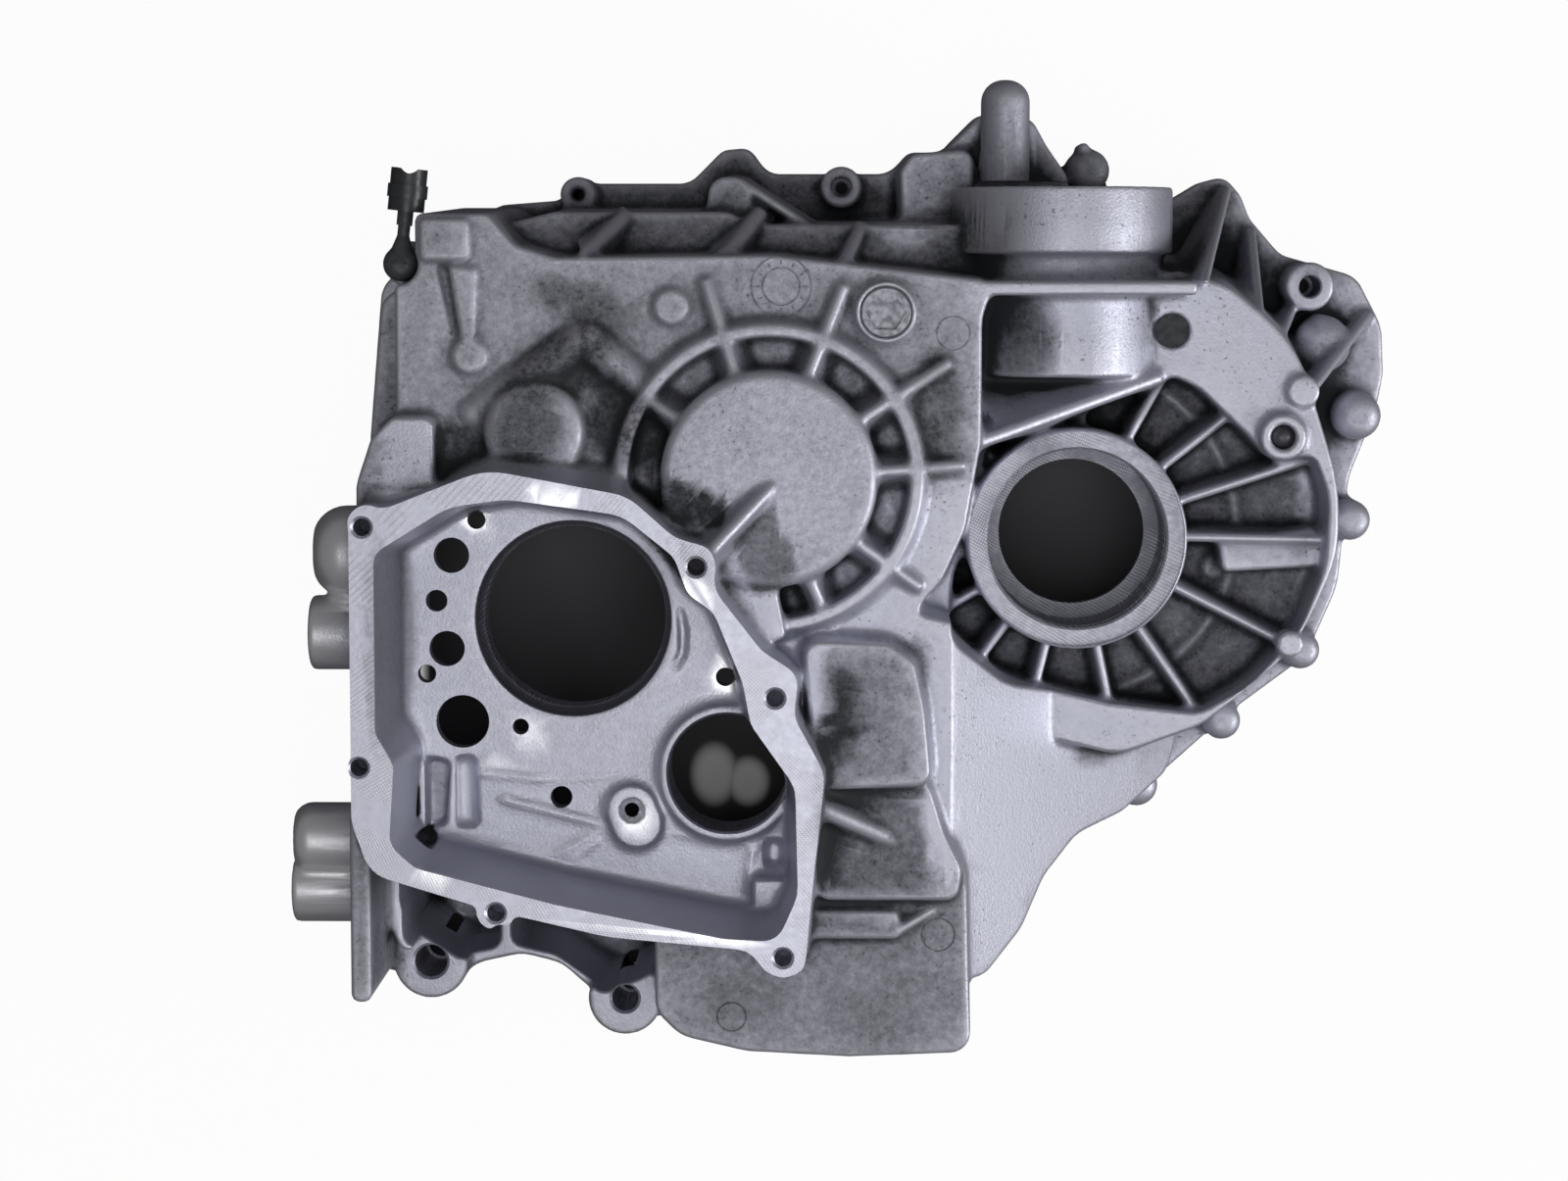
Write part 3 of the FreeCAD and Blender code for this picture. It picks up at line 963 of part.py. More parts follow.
cap_dip = cylinder("CapDip", "Sizes.breather_x + %s * sin(Sizes.breather_lean)" % dip_at,
                   "Sizes.breather_y + %s * cos(Sizes.breather_lean)" % dip_at,
                   "Sizes.breather_z - 2 * Sizes.cap_radius", "Sizes.cap_dip", "4 * Sizes.cap_radius")
breather_cap = cut("breather_cap", cap_body, [cap_bore, cap_dip])

# Check and write

nodes = [casting, screw_plug, core_plug, ball_plug, breather_stem, breather_cap]
for node in nodes:
    node.Label = node.Name
doc.recompute()
for item in doc.Objects:
    if "Invalid" in item.State or "Error" in item.State:
        raise RuntimeError("%s can't be built: %s" % (item.Label, item.State))
for node in nodes:
    if node.Shape.isNull() or not node.Shape.isValid():
        raise RuntimeError("%s has no valid shape" % node.Label)
    if len(node.Shape.Solids) != 1:
        raise RuntimeError("%s is in %d pieces" % (node.Label, len(node.Shape.Solids)))
os.makedirs("parts", exist_ok=True)
for node in nodes:
    node.Shape.exportStep("parts/%s.step" % node.Label)
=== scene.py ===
# %% [markdown]
# # Gearbox housing
# The housing is one aluminium die casting. Its outline, walls, ribs and bores come from the packed
# solids, which this scene loads first. Everything below dresses those solids: the soft edges and
# fillets that a casting gets from its die, the crisp faces that a milling cutter leaves, and the
# finishes. All working lengths are millimetres, and meshes are written in metres.

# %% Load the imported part
import math

import bmesh
import bpy
import numpy as np
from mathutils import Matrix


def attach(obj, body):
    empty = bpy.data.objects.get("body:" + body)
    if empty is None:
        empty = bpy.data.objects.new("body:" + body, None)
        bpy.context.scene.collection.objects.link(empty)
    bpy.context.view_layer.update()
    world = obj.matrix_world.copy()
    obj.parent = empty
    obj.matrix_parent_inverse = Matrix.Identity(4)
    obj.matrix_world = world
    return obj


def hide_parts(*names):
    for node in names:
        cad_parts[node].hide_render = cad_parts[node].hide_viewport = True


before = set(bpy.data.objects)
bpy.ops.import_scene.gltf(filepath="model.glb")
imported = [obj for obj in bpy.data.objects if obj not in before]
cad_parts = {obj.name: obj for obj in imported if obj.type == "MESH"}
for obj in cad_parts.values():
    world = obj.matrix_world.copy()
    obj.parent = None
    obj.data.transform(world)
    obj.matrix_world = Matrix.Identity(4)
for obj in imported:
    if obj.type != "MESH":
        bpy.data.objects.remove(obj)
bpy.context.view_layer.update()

import openvdb
from mathutils import Matrix, Vector

MM = 0.001

# %% [markdown]
# ## Reading the casting into a volume
# A real casting has no sharp corners: the die rounds its edges, and its inner corners have fillets. A
# Bevel modifier rounds the edges of a simple mesh, but here dozens of ribs and walls meet at odd
# angles, and it would fail at many corners. So the solid is turned into a volume whose cubes hold their
# distance to the skin, less than zero inside the metal. Smoothing that volume rounds every edge at once.

# %% Copy the casting's mesh
casting_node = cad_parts["gearcase_casting"]


def mesh_arrays(obj):
    """Vertices in millimetres, merged where they coincide, and triangles, as two arrays."""
    mesh = obj.data
    mesh.calc_loop_triangles()
    points = np.empty(len(mesh.vertices) * 3, np.float32)
    mesh.vertices.foreach_get("co", points)
    triangles = np.empty(len(mesh.loop_triangles) * 3, np.int32)
    mesh.loop_triangles.foreach_get("vertices", triangles)
    points = points.reshape(-1, 3) / MM
    unique, index = np.unique(np.round(points, 3), axis=0, return_inverse=True)
    triangles = index.reshape(-1)[triangles].reshape(-1, 3)
    return unique.astype(np.float32), triangles.astype(np.int32)


points, triangles = mesh_arrays(casting_node)
print("casting copy:", len(points), "points,", len(triangles), "triangles")

# %% Distances to the skin, on a grid of cubes
CUBE = 1.0  # side of a cube
BAND = 7  # cubes on either side of the skin that hold their distance to it
MARGIN = 8  # empty cubes round the casting

grid_low = np.floor(points.min(0) / CUBE).astype(int) - MARGIN
grid_high = np.ceil(points.max(0) / CUBE).astype(int) + MARGIN
grid_shape = tuple(grid_high - grid_low + 1)
level_set = openvdb.FloatGrid.createLevelSetFromPolygons(
    points, triangles=triangles, transform=openvdb.createLinearTransform(voxelSize=CUBE), halfWidth=BAND
)
skin = np.empty(grid_shape, np.float32)
level_set.copyToArray(skin, ijk=tuple(int(v) for v in grid_low))
grid_axes = [(np.arange(grid_shape[a]) + grid_low[a]) * CUBE for a in range(3)]
axis_z = grid_axes[2]
print("volume:", grid_shape, "cubes of", CUBE, "mm, deepest", float(skin.min()))

# %% [markdown]
# ## Filling what the cutter makes
# Bores, seats and tapped holes are machined after casting, so their edges are crisp. Smoothing would
# blur them. They are filled in the volume here and cut again with exact tools later, which is also the
# order of work in a real foundry and its machine shop.

# %% Heights and places of the machining
RIM_Z = 185.0  # joint face of the valve-body chamber
END_FACE_Z = 150.0
COLLAR_Z = 133.0  # collar round the second bore
FLOOR_Z = 130.0  # floor of the chamber
SEAL_FACE_Z = 118.0
FOOT_LUG_Z = 100.0
CROSS_END_Y = 146.0
MAIN_BORE = (-109, -21)
SECOND_BORE = (-48, -82)
SEAL_BORE = (90, 10)
CROSS_BORE = (85, 88)
DOME = (-31, 36)
RIM_BOLTS = [(-185, 19), (-187, -73), (-135, -129), (-25, -146), (-28, -46), (-58, 4)]
# x, y and radius
FLOOR_HOLES = [
    (-157, 4, 6.9), (-163, -14, 4.2), (-159, -33, 6.9), (-167, -43, 3.5), (-153, -62, 10.4),
    (-147, 18, 3.5), (-130, -64, 3.1), (-49, -44, 3.6), (-114, -92, 4.2), (-86, -97, 4.2),
]
FOOT_LUGS = [(-170, -164, 6.6), (-91, -179, 5.4)]
# x, y, radius and height of the lug's face
FLANGE_LUGS = [(-4, 150, 4.1, 40.0), (190, 109, 4.5, 42.0)]
print("holes:", len(RIM_BOLTS) + len(FLOOR_HOLES) + len(FOOT_LUGS) + len(FLANGE_LUGS))

# %% Profiles of the turned tools
# each tool is turned about an axis of the grid: its direction, its centre across that direction, and
# its profile of (radius, height) points from the open end inwards; the face is where it enters
UP = 2
BACK = 1

turned_tools = [
    (UP, MAIN_BORE, [(39.6, 131.0), (39.2, 130.0), (38.6, 129.3), (36.4, 120.5), (36.0, 119.8),
                     (36.0, 103.0)], FLOOR_Z),
    (UP, SECOND_BORE, [(25.0, 134.0), (24.4, 133.0), (23.5, 132.0), (23.5, 103.0)], COLLAR_Z),
    (UP, SEAL_BORE, [(42.6, 124.0), (42.6, 118.0), (36.4, 118.0), (35.5, 117.1), (35.5, 111.0),
                     (36.9, 110.6), (36.9, 108.4), (35.5, 108.0), (35.5, 76.0), (29.5, 76.0),
                     (29.5, 70.9), (35.5, 70.9), (35.5, 45.0)], SEAL_FACE_Z + 3),
    (BACK, CROSS_BORE, [(43.0, 152.0), (43.0, 146.0), (32.2, 146.0), (31.0, 144.8), (31.0, 121.0)],
     CROSS_END_Y + 3),
]
for place in RIM_BOLTS:
    profile = [(5.2, 186.0), (4.4, 185.0), (3.4, 184.0), (3.4, 163.0), (0.0, 161.0)]
    turned_tools.append((UP, place, profile, RIM_Z))
for x, y, r in FLOOR_HOLES:
    profile = [(r + 0.8, 131.0), (r + 0.3, 130.2), (r, 129.8), (r, 121.0)]
    turned_tools.append((UP, (x, y), profile, FLOOR_Z))
for x, y, r in FOOT_LUGS:
    profile = [(r + 2.0, FOOT_LUG_Z + 1), (r + 1.1, FOOT_LUG_Z), (r, FOOT_LUG_Z - 1), (r, 60.0)]
    turned_tools.append((UP, (x, y), profile, FOOT_LUG_Z))
for x, y, r, z in FLANGE_LUGS:
    profile = [(r + 1.6, z + 1), (r + 0.7, z), (r, z - 0.7), (r, 12.0)]
    turned_tools.append((UP, (x, y), profile, z))
print("turned tools:", len(turned_tools))

# %% Fill the machined places
def other_axes(axis):
    """The two grid axes square to an axis."""
    return [a for a in range(3) if a != axis]


def fill_bar(volume, axis, centre, radius, low, high):
    """Adds a round bar along a grid axis to the solid: the lesser of two distances joins two solids."""
    first, second = other_axes(axis)
    reach = radius + BAND
    window = [slice(None)] * 3
    for a, c in zip((first, second), centre):
        window[a] = slice(*np.searchsorted(grid_axes[a], (c - reach, c + reach)))
    across = np.ix_(grid_axes[first][window[first]] - centre[0], grid_axes[second][window[second]] - centre[1])
    side = np.expand_dims(np.hypot(*across) - radius, axis)
    ends = np.maximum(low - grid_axes[axis], grid_axes[axis] - high)
    ends = ends.reshape([-1 if a == axis else 1 for a in range(3)])
    window = tuple(window)
    volume[window] = np.minimum(volume[window], np.maximum(side, ends))


# the bar is as wide as the bore below its chamfer and a little over
for axis, centre, profile, face in turned_tools:
    widest = max(r for r, height in profile if height < face - 2.5)
    fill_bar(skin, axis, centre, widest + 1.0, profile[-1][1] + 1.5, face)
# the two turned end faces get stock to cut from
fill_bar(skin, UP, SEAL_BORE, 41.5, SEAL_FACE_Z - 6, SEAL_FACE_Z + 3)
fill_bar(skin, BACK, CROSS_BORE, 40.0, CROSS_END_Y - 6, CROSS_END_Y + 3)
print("filled", len(turned_tools), "machined places")

# %% [markdown]
# ## Ridges on the chamber floor
# The floor of the chamber carries low, soft ridges that the die leaves. They stand out by about a
# millimetre. A round bar sunk into the floor leaves just such a crest, and since it joins the volume
# before the smoothing, it blends into the floor without a seam.

# %% Add the ridges
# start, end and radius of each
FLOOR_RIDGES = [
    ((-137, -93), (-94, -104), 2.6), ((-146, -82.6), (-121, -85), 2.0), ((-121, -85), (-80, -83), 1.4),
    ((-114, -114), (-100, -106), 2.2), ((-100, -106), (-94, -104), 2.2), ((-111, -117), (-98, -109), 2.0),
    ((-73, -106), (-36, -112), 1.8), ((-160, -107), (-112, -116), 1.8), ((-38, -112), (-41, -130), 2.2),
]
SUNK = 0.55  # share of its radius by which a ridge's axis lies below the floor


def add_ridge(volume, start, end, radius, height):
    """Adds a straight bar with round ends: the distance to the nearest point of its axis, less its
    radius. Its axis lies below the given height, so only the crest stands out."""
    run = np.subtract(end, start)
    low = np.minimum(start, end) - radius - BAND
    high = np.maximum(start, end) + radius + BAND
    window = tuple(slice(*np.searchsorted(grid_axes[a], (low[a], high[a]))) for a in range(2))
    across = [grid_axes[a][window[a]] - start[a] for a in range(2)]
    along = np.clip((across[0][:, None] * run[0] + across[1][None, :] * run[1]) / (run @ run), 0, 1)
    flat = np.hypot(across[0][:, None] - along * run[0], across[1][None, :] - along * run[1])
    bar = np.hypot(flat[:, :, None], axis_z - (height - SUNK * radius)) - radius
    volume[window] = np.minimum(volume[window], bar)


for start, end, radius in FLOOR_RIDGES:
    add_ridge(skin, start, end, radius, FLOOR_Z)
print("ridges:", len(FLOOR_RIDGES))

# %% [markdown]
# ## Stock for milling
# The rim of the chamber and the joint face at the back are milled flat, and their edges are sharp. The
# raw casting is taller there. Each face is raised by repeating the layer just below it, and the mill
# takes the stock off again after the smoothing, together with its rounded edge.

# %% Leave stock on the rim and on the joint face
STOCK = 2
LAYER = 3  # depth under the face of the layer that is repeated

rim_layer = np.searchsorted(axis_z, RIM_Z - LAYER)
above = axis_z > RIM_Z - LAYER
skin[:, :, above] = np.minimum(
    skin[:, :, above], np.maximum(skin[:, :, rim_layer][:, :, None], axis_z[above] - (RIM_Z + STOCK)))
foot_layer = np.searchsorted(axis_z, LAYER)
below = axis_z < LAYER
skin[:, :, below] = np.minimum(
    skin[:, :, below], np.maximum(skin[:, :, foot_layer][:, :, None], -STOCK - axis_z[below]))
print("stock:", STOCK, "mm on two faces")

# %% [markdown]
# ## Rounding
# A light smoothing rounds the outer edges. A stronger one fills the inner corners. The solid that is
# in either of the two has tight edges and wide fillets, which is how cast parts look.

# %% Smooth the volume
def smoothed(volume, reach):
    """The mean over a box of 2 * reach + 1 cubes, three times along each axis: close to a bell curve."""
    result = volume
    for axis in range(3):
        border = [(reach + 1, reach) if a == axis else (0, 0) for a in range(3)]
        for _ in range(3):
            padded = np.pad(result, border, mode="edge")
            total = np.cumsum(padded, axis=axis, dtype=np.float32)
            ahead = np.take(total, range(2 * reach + 1, total.shape[axis]), axis=axis)
            behind = np.take(total, range(0, total.shape[axis] - 2 * reach - 1), axis=axis)
            result = ((ahead - behind) / (2 * reach + 1)).astype(np.float32)
    return result


def light_smoothed(volume):
    """Weights 1, 2, 1 along each axis: rounds an edge by about the size of one cube."""
    result = volume
    for axis in range(3):
        ahead = np.roll(result, -1, axis)
        behind = np.roll(result, 1, axis)
        result = 0.5 * result + 0.25 * (ahead + behind)
    return result


tight = light_smoothed(skin)
wide = smoothed(smoothed(skin, 1), 1)
rounded_skin = np.minimum(tight, wide)
print("rounded: distances changed by up to", round(float(np.abs(rounded_skin - skin).max()), 2), "mm")

# %% [markdown]
# ## Hollows
# Dirt gathers in corners and pockets, where painted shade darkens them too, and hands and rags keep the
# edges clean. The share of metal in the neighbourhood of a place tells the two apart: it is a half on a
# flat face, more in a hollow and less on an edge. It is kept on a coarser grid, because it changes slowly.

# %% How deep each place lies in a hollow
BLOCK = 3  # cubes along the side of a coarse one

trimmed = tuple(n // BLOCK * BLOCK for n in grid_shape)
share = np.clip(0.5 - skin[:trimmed[0], :trimmed[1], :trimmed[2]] / 2, 0, 1)
share = share.reshape([n for side in trimmed for n in (side // BLOCK, BLOCK)]).mean((1, 3, 5))
share = smoothed(share, 2)
print("neighbourhood:", share.shape)

# %% [markdown]
# ## Back to a skin
# The rounded volume becomes a mesh again where its distance is zero. That mesh has a million small
# faces, even where the casting is flat, so a Decimate modifier removes the ones that matter least.

# %% Turn the volume back into a skin of polygons
volume_grid = openvdb.FloatGrid(BAND * CUBE)
volume_grid.transform = openvdb.createLinearTransform(voxelSize=CUBE)
volume_grid.copyFromArray(rounded_skin, ijk=tuple(int(v) for v in grid_low))
volume_grid.gridClass = openvdb.GridClass.LEVEL_SET
new_points, new_triangles, new_quads = volume_grid.convertToPolygons(isovalue=0.0, adaptivity=0.0)


def mesh_object(name, vertices, faces):
    """A mesh object from vertices in millimetres and a list of faces."""
    mesh = bpy.data.meshes.new(name)
    mesh.from_pydata((np.asarray(vertices) * MM).tolist(), [], faces)
    mesh.update()
    obj = bpy.data.objects.new(name, mesh)
    bpy.context.scene.collection.objects.link(obj)
    return obj


# polygons from the volume run clockwise, so they are turned to point outwards
faces = new_triangles[:, ::-1].tolist() + new_quads[:, ::-1].tolist()
casting = mesh_object("casting", new_points, faces)
print("casting skin:", len(casting.data.vertices), "points,", len(casting.data.polygons), "faces")

# %% Thin the skin out
SKIN_TRIANGLES = 132000


def apply_modifiers(obj):
    """Bakes an object's modifiers into its mesh."""
    depsgraph = bpy.context.evaluated_depsgraph_get()
    mesh = bpy.data.meshes.new_from_object(obj.evaluated_get(depsgraph))
    old = obj.data
    obj.modifiers.clear()
    obj.data = mesh
    bpy.data.meshes.remove(old)


def thin_out(obj, target):
    """Removes the triangles that matter least until about the target is left."""
    obj.data.calc_loop_triangles()
    thin = obj.modifiers.new("Thin", "DECIMATE")
    thin.ratio = min(1.0, target / len(obj.data.loop_triangles))
    thin.use_collapse_triangulate = True
    apply_modifiers(obj)


thin_out(casting, SKIN_TRIANGLES)
print("thinned to", len(casting.data.polygons), "triangles")

# %% [markdown]
# ## Machining
# The machine shop bores and mills the casting. Its tools are turned shapes and flat slabs. Each one is
# a closed surface worked out on a grid, and a Boolean modifier takes them out of the casting, which
# gives round bores and sharp, flat faces that no smoothing has touched.

# %% Shapes of the tools
AROUND = 96  # points round a turned tool
MARK_AROUND = 64  # points round a mark


def turned_points(axis, centre, radius, height, angle):
    """Points on circles about a grid axis: radius times cosine and sine of the angle, at a height. The
    turning sense is the same for every axis."""
    first, second = radius * np.cos(angle), radius * np.sin(angle)
    if axis == UP:
        return np.stack(np.broadcast_arrays(centre[0] + first, centre[1] + second, height), -1)
    return np.stack(np.broadcast_arrays(centre[0] + second, height, centre[1] + first), -1)


def turned_surface(name, axis, centre, profile):
    """A profile of (radius, height) points, each swept round the axis, closed by a pole at either end."""
    rings = [p for p in profile if p[0] > 0]
    radii, heights = np.array(rings).T[:, :, None]
    angle = np.linspace(0, 2 * math.pi, AROUND, endpoint=False)
    ring = turned_points(axis, centre, radii, heights, angle).reshape(-1, 3)
    poles = turned_points(axis, centre, np.zeros(2), np.array([profile[0][1], profile[-1][1]]), np.zeros(2))
    j = np.arange(AROUND)
    k = (j + 1) % AROUND
    faces = []
    for i in range(len(rings) - 1):
        a, b = i * AROUND, (i + 1) * AROUND
        faces += np.stack([a + j, b + j, b + k, a + k], 1).tolist()
    last = (len(rings) - 1) * AROUND
    top, bottom = np.full(AROUND, len(ring)), np.full(AROUND, len(ring) + 1)
    faces += np.stack([top, j, k], 1).tolist()
    faces += np.stack([bottom, last + k, last + j], 1).tolist()
    return mesh_object(name, np.vstack([ring, poles]), faces)


def groove_ring(name, centre, inner, outer, low, high):
    """A closed ring about an upright axis: the four corners of its section swept round."""
    angle = np.linspace(0, 2 * math.pi, MARK_AROUND, endpoint=False)
    radii, heights = np.array([[inner, low], [outer, low], [outer, high], [inner, high]]).T[:, :, None]
    ring = turned_points(UP, centre, radii, heights, angle).reshape(-1, 3)
    j = np.arange(MARK_AROUND)
    k = (j + 1) % MARK_AROUND
    faces = []
    for i in range(4):
        a, b = i * MARK_AROUND, (i + 1) % 4 * MARK_AROUND
        faces += np.stack([a + j, a + k, b + k, b + j], 1).tolist()
    return mesh_object(name, ring, faces)


def slab(name, low, high):
    """A box: every mix of the coordinates of two opposite corners."""
    corners = np.stack(np.meshgrid(*zip(low, high), indexing="ij"), -1).reshape(-1, 3)
    faces = [[0, 1, 3, 2], [4, 6, 7, 5], [0, 4, 5, 1], [2, 3, 7, 6], [0, 2, 6, 4], [1, 5, 7, 3]]
    return mesh_object(name, corners, faces)


tools = [turned_surface("tool%d" % i, *tool[:3]) for i, tool in enumerate(turned_tools)]
tools.append(slab("rim_tool", (-300, -300, RIM_Z), (300, 300, 220)))
tools.append(slab("joint_tool", (-300, -300, -30), (300, 300, 0)))
print("tools:", len(tools))

# %% [markdown]
# ## Marks of the die
# Ejector pins leave faint round marks on the end face, and a die carries a date mark, a ring with
# ticks. The marks are less than a millimetre deep, yet their edges catch the light, so they are cut as
# real grooves.

# %% Grooves of the marks
# x, y and radius
PIN_MARKS = [(40, 92, 6.8), (35, -143, 6.8), (-46, -176, 6.0)]
DATE_MARK = (-26.5, 110)
DATE_RINGS = (7.6, 12.0)
TICKS = 12
TICK_AT = 9.2  # distance of a tick from the middle of the date mark

marks = []
for x, y, radius in PIN_MARKS:
    marks.append(groove_ring("pin_mark", (x, y), radius - 0.7, radius, END_FACE_Z - 0.5, END_FACE_Z + 2))
for radius in DATE_RINGS:
    marks.append(groove_ring("date_ring", DATE_MARK, radius - 0.8, radius, END_FACE_Z - 0.6, END_FACE_Z + 2))
for tick in range(TICKS):
    turn = tick * math.pi / (TICKS / 2)
    middle = Vector((math.cos(turn), math.sin(turn), 0)) * TICK_AT
    marks.append(slab("tick", (-0.8, -0.35, END_FACE_Z - 0.6), (0.8, 0.35, END_FACE_Z + 2)))
    marks[-1].data.transform(Matrix.Translation(middle * MM) @ Matrix.Rotation(turn, 4, "Z"))
    marks[-1].data.transform(Matrix.Translation((DATE_MARK[0] * MM, DATE_MARK[1] * MM, 0)))
print("marks:", len(marks))

# %% Cut the casting
def cut_away(obj, tools, index):
    """Takes every tool out of the object; the new faces get the material index."""
    folder = bpy.data.collections.new("Tools")
    for tool in tools:
        tool.data.materials.append(None)
        tool.data.materials.append(None)
        tool.data.polygons.foreach_set("material_index", np.full(len(tool.data.polygons), index, np.int32))
        bpy.context.scene.collection.objects.unlink(tool)
        folder.objects.link(tool)
    bpy.context.scene.collection.children.link(folder)
    cutter = obj.modifiers.new("Cut", "BOOLEAN")
    cutter.operation = "DIFFERENCE"
    cutter.operand_type = "COLLECTION"
    cutter.collection = folder
    cutter.solver = "MANIFOLD"
    apply_modifiers(obj)
    for tool in tools:
        mesh = tool.data
        bpy.data.objects.remove(tool)
        bpy.data.meshes.remove(mesh)
    bpy.data.collections.remove(folder)


# index 0 is the skin of the casting and 1 is a machined face
casting.data.materials.append(None)
casting.data.materials.append(None)
cut_away(casting, marks, 0)
cut_away(casting, tools, 1)
print("cut:", len(casting.data.polygons), "faces")

# %% [markdown]
# ## Points for the painted places
# Dirt, painted shade and painted highlights are stored on the points of the mesh, and a flat face that
# was thinned out has hardly any. The wide faces are split once more, and more finely on the dome, where
# the painted shadows have straight edges. The narrow triangles along rounded edges stay whole, which
# keeps the mesh light.

# %% Split the wide faces
def split_wide_faces(obj, longest, area, around=(0, 0), within=400):
    """Halves the edges longer than a length in millimetres between faces that together are larger than
    an area in square millimetres, within a distance of a place, four times over."""
    work = bmesh.new()
    work.from_mesh(obj.data)
    bmesh.ops.triangulate(work, faces=work.faces[:])
    for _ in range(4):
        wide_edges = [e for e in work.edges if e.calc_length() > longest * MM
                      and sum(f.calc_area() for f in e.link_faces) > area * MM**2
                      and math.dist(e.verts[0].co.xy, (around[0] * MM, around[1] * MM)) < within * MM]
        bmesh.ops.subdivide_edges(work, edges=wide_edges, cuts=1)
        bmesh.ops.triangulate(work, faces=[f for f in work.faces if len(f.verts) > 3])
    work.to_mesh(obj.data)
    work.free()
    obj.data.update()


split_wide_faces(casting, longest=9, area=40)
split_wide_faces(casting, longest=3, area=8, around=DOME, within=46)
machined = np.empty(len(casting.data.polygons), np.int32)
casting.data.polygons.foreach_get("material_index", machined)
print("machined:", len(casting.data.polygons), "faces, of which", int((machined > 0).sum()), "by a tool")

# %% [markdown]
# ## Exact normals
# A thinned mesh shows its facets when it is lit. The volume still knows which way the skin faces, so
# the cast skin takes its normals from there. Machined faces keep the normals of their tools: flat on
# the milled faces, and straight towards the axis in the bores.

# %% Read the volumes at the points of the mesh
def sampled(volume, places, low, step):
    """Values of a volume at places in millimetres, blended linearly between its cubes."""
    where = (places - low) / step
    corner = np.clip(np.floor(where).astype(int), 0, np.array(volume.shape) - 2)
    part = np.clip(where - corner, 0, 1)
    total = np.zeros(len(places))
    for offset in np.ndindex(2, 2, 2):
        weight = np.prod(np.where(offset, part, 1 - part), axis=1)
        index = corner + offset
        total += weight * volume[index[:, 0], index[:, 1], index[:, 2]]
    return total


mesh = casting.data
places = np.empty(len(mesh.vertices) * 3)
mesh.vertices.foreach_get("co", places)
places = places.reshape(-1, 3) / MM
volume_low = grid_low * CUBE
gradient = np.stack([
    sampled(rounded_skin, places + step, volume_low, CUBE)
    - sampled(rounded_skin, places - step, volume_low, CUBE)
    for step in 0.9 * np.eye(3)
], -1)
gradient /= np.maximum(np.linalg.norm(gradient, axis=1, keepdims=True), 1e-6)
# on the rounded skin the wide smoothing is above zero at outer edges, the light one in inner corners
convex = np.clip(sampled(wide, places, volume_low, CUBE), 0, 3)
concave = np.clip(sampled(tight, places, volume_low, CUBE), 0, 3)
metal_share = sampled(share, places, volume_low + (BLOCK - 1) / 2 * CUBE, BLOCK * CUBE)
print("share of metal from", round(float(metal_share.min()), 2), "to", round(float(metal_share.max()), 2))

# %% Set the normals
loop_vertex = np.empty(len(mesh.loops), np.int32)
mesh.loops.foreach_get("vertex_index", loop_vertex)
loop_count = np.empty(len(mesh.polygons), np.int32)
mesh.polygons.foreach_get("loop_total", loop_count)
flat = np.empty(len(mesh.polygons) * 3)
mesh.polygons.foreach_get("normal", flat)
flat = flat.reshape(-1, 3)
loop_face = np.repeat(np.arange(len(mesh.polygons)), loop_count)
loop_place = places[loop_vertex]

normals = gradient[loop_vertex]
tooled = machined[loop_face] > 0
normals[tooled] = flat[loop_face[tooled]]
for axis, centre, profile, face in turned_tools:
    first, second = other_axes(axis)
    radial = loop_place[:, (first, second)] - centre
    distance = np.linalg.norm(radial, axis=1)
    near = tooled & (distance < max(r for r, height in profile) + 0.2) & (distance > 0.5)
    near &= (loop_place[:, axis] > profile[-1][1] - 0.2) & (loop_place[:, axis] < profile[0][1] + 0.2)
    near &= np.abs(normals[:, axis]) < 0.98
    along = normals[near, axis]
    inward = -radial[near] / distance[near, None] * np.sqrt(1 - along ** 2)[:, None]
    normals[near, first] = inward[:, 0]
    normals[near, second] = inward[:, 1]
mesh.shade_smooth()
mesh.normals_split_custom_set(normals.tolist())
print("normals set on", len(normals), "corners")

# %% [markdown]
# ## Grime, painted shade and painted highlights
# This housing has been in use, and a few stains lie on its end face. Its flanks, its pockets and the
# webs round the differential are darkened as painted shade, with some oil on the webs, and the dark
# patches on the dome are painted shadows. Glints on the rim and floor and the side bosses are lightened
# as painted highlights. An image texture would fix these places to one picture. Instead each one is a
# formula in millimetres, worked out for all points at once and stored as an attribute, so it stays in
# its place from every side.

# %% Soft edges and patches
def rise(values, low, high):
    """From 0 at low to 1 at high, with level ends: three squares less two cubes of the share between."""
    t = np.clip((values - low) / (high - low), 0, 1)
    return t * t * (3 - 2 * t)


def fall(values, low, high):
    """From 1 at low to 0 at high."""
    return 1 - rise(values, low, high)


def patch(x, y, z, across, deep, tall=9.0, turn=0.0):
    """A soft oval patch: centre, half sizes along the skin, half height, and its turn in degrees."""
    c, s = math.cos(math.radians(turn)), math.sin(math.radians(turn))
    dx, dy = places[:, 0] - x, places[:, 1] - y
    reach = np.hypot((dx * c + dy * s) / across, (dy * c - dx * s) / deep)
    return fall(reach, 0.6, 1.25) * fall(np.abs(places[:, 2] - z), tall, 1.5 * tall)


def field(corners, z, tall=8.0, soft=1.6):
    """A patch with straight sides: its corners anticlockwise, its height and its half height."""
    inside = fall(np.abs(places[:, 2] - z), tall, 1.5 * tall)
    for (ax, ay), (bx, by) in zip(corners, corners[1:] + corners[:1]):
        to_left = (bx - ax) * (places[:, 1] - ay) - (by - ay) * (places[:, 0] - ax)
        inside *= rise(to_left / math.hypot(bx - ax, by - ay), -soft, soft)
    return inside


x, y, z = places.T
from_seal = np.hypot(x - SEAL_BORE[0], y - SEAL_BORE[1])
from_dome = np.hypot(x - DOME[0], y - DOME[1])
print("points to paint:", len(places))
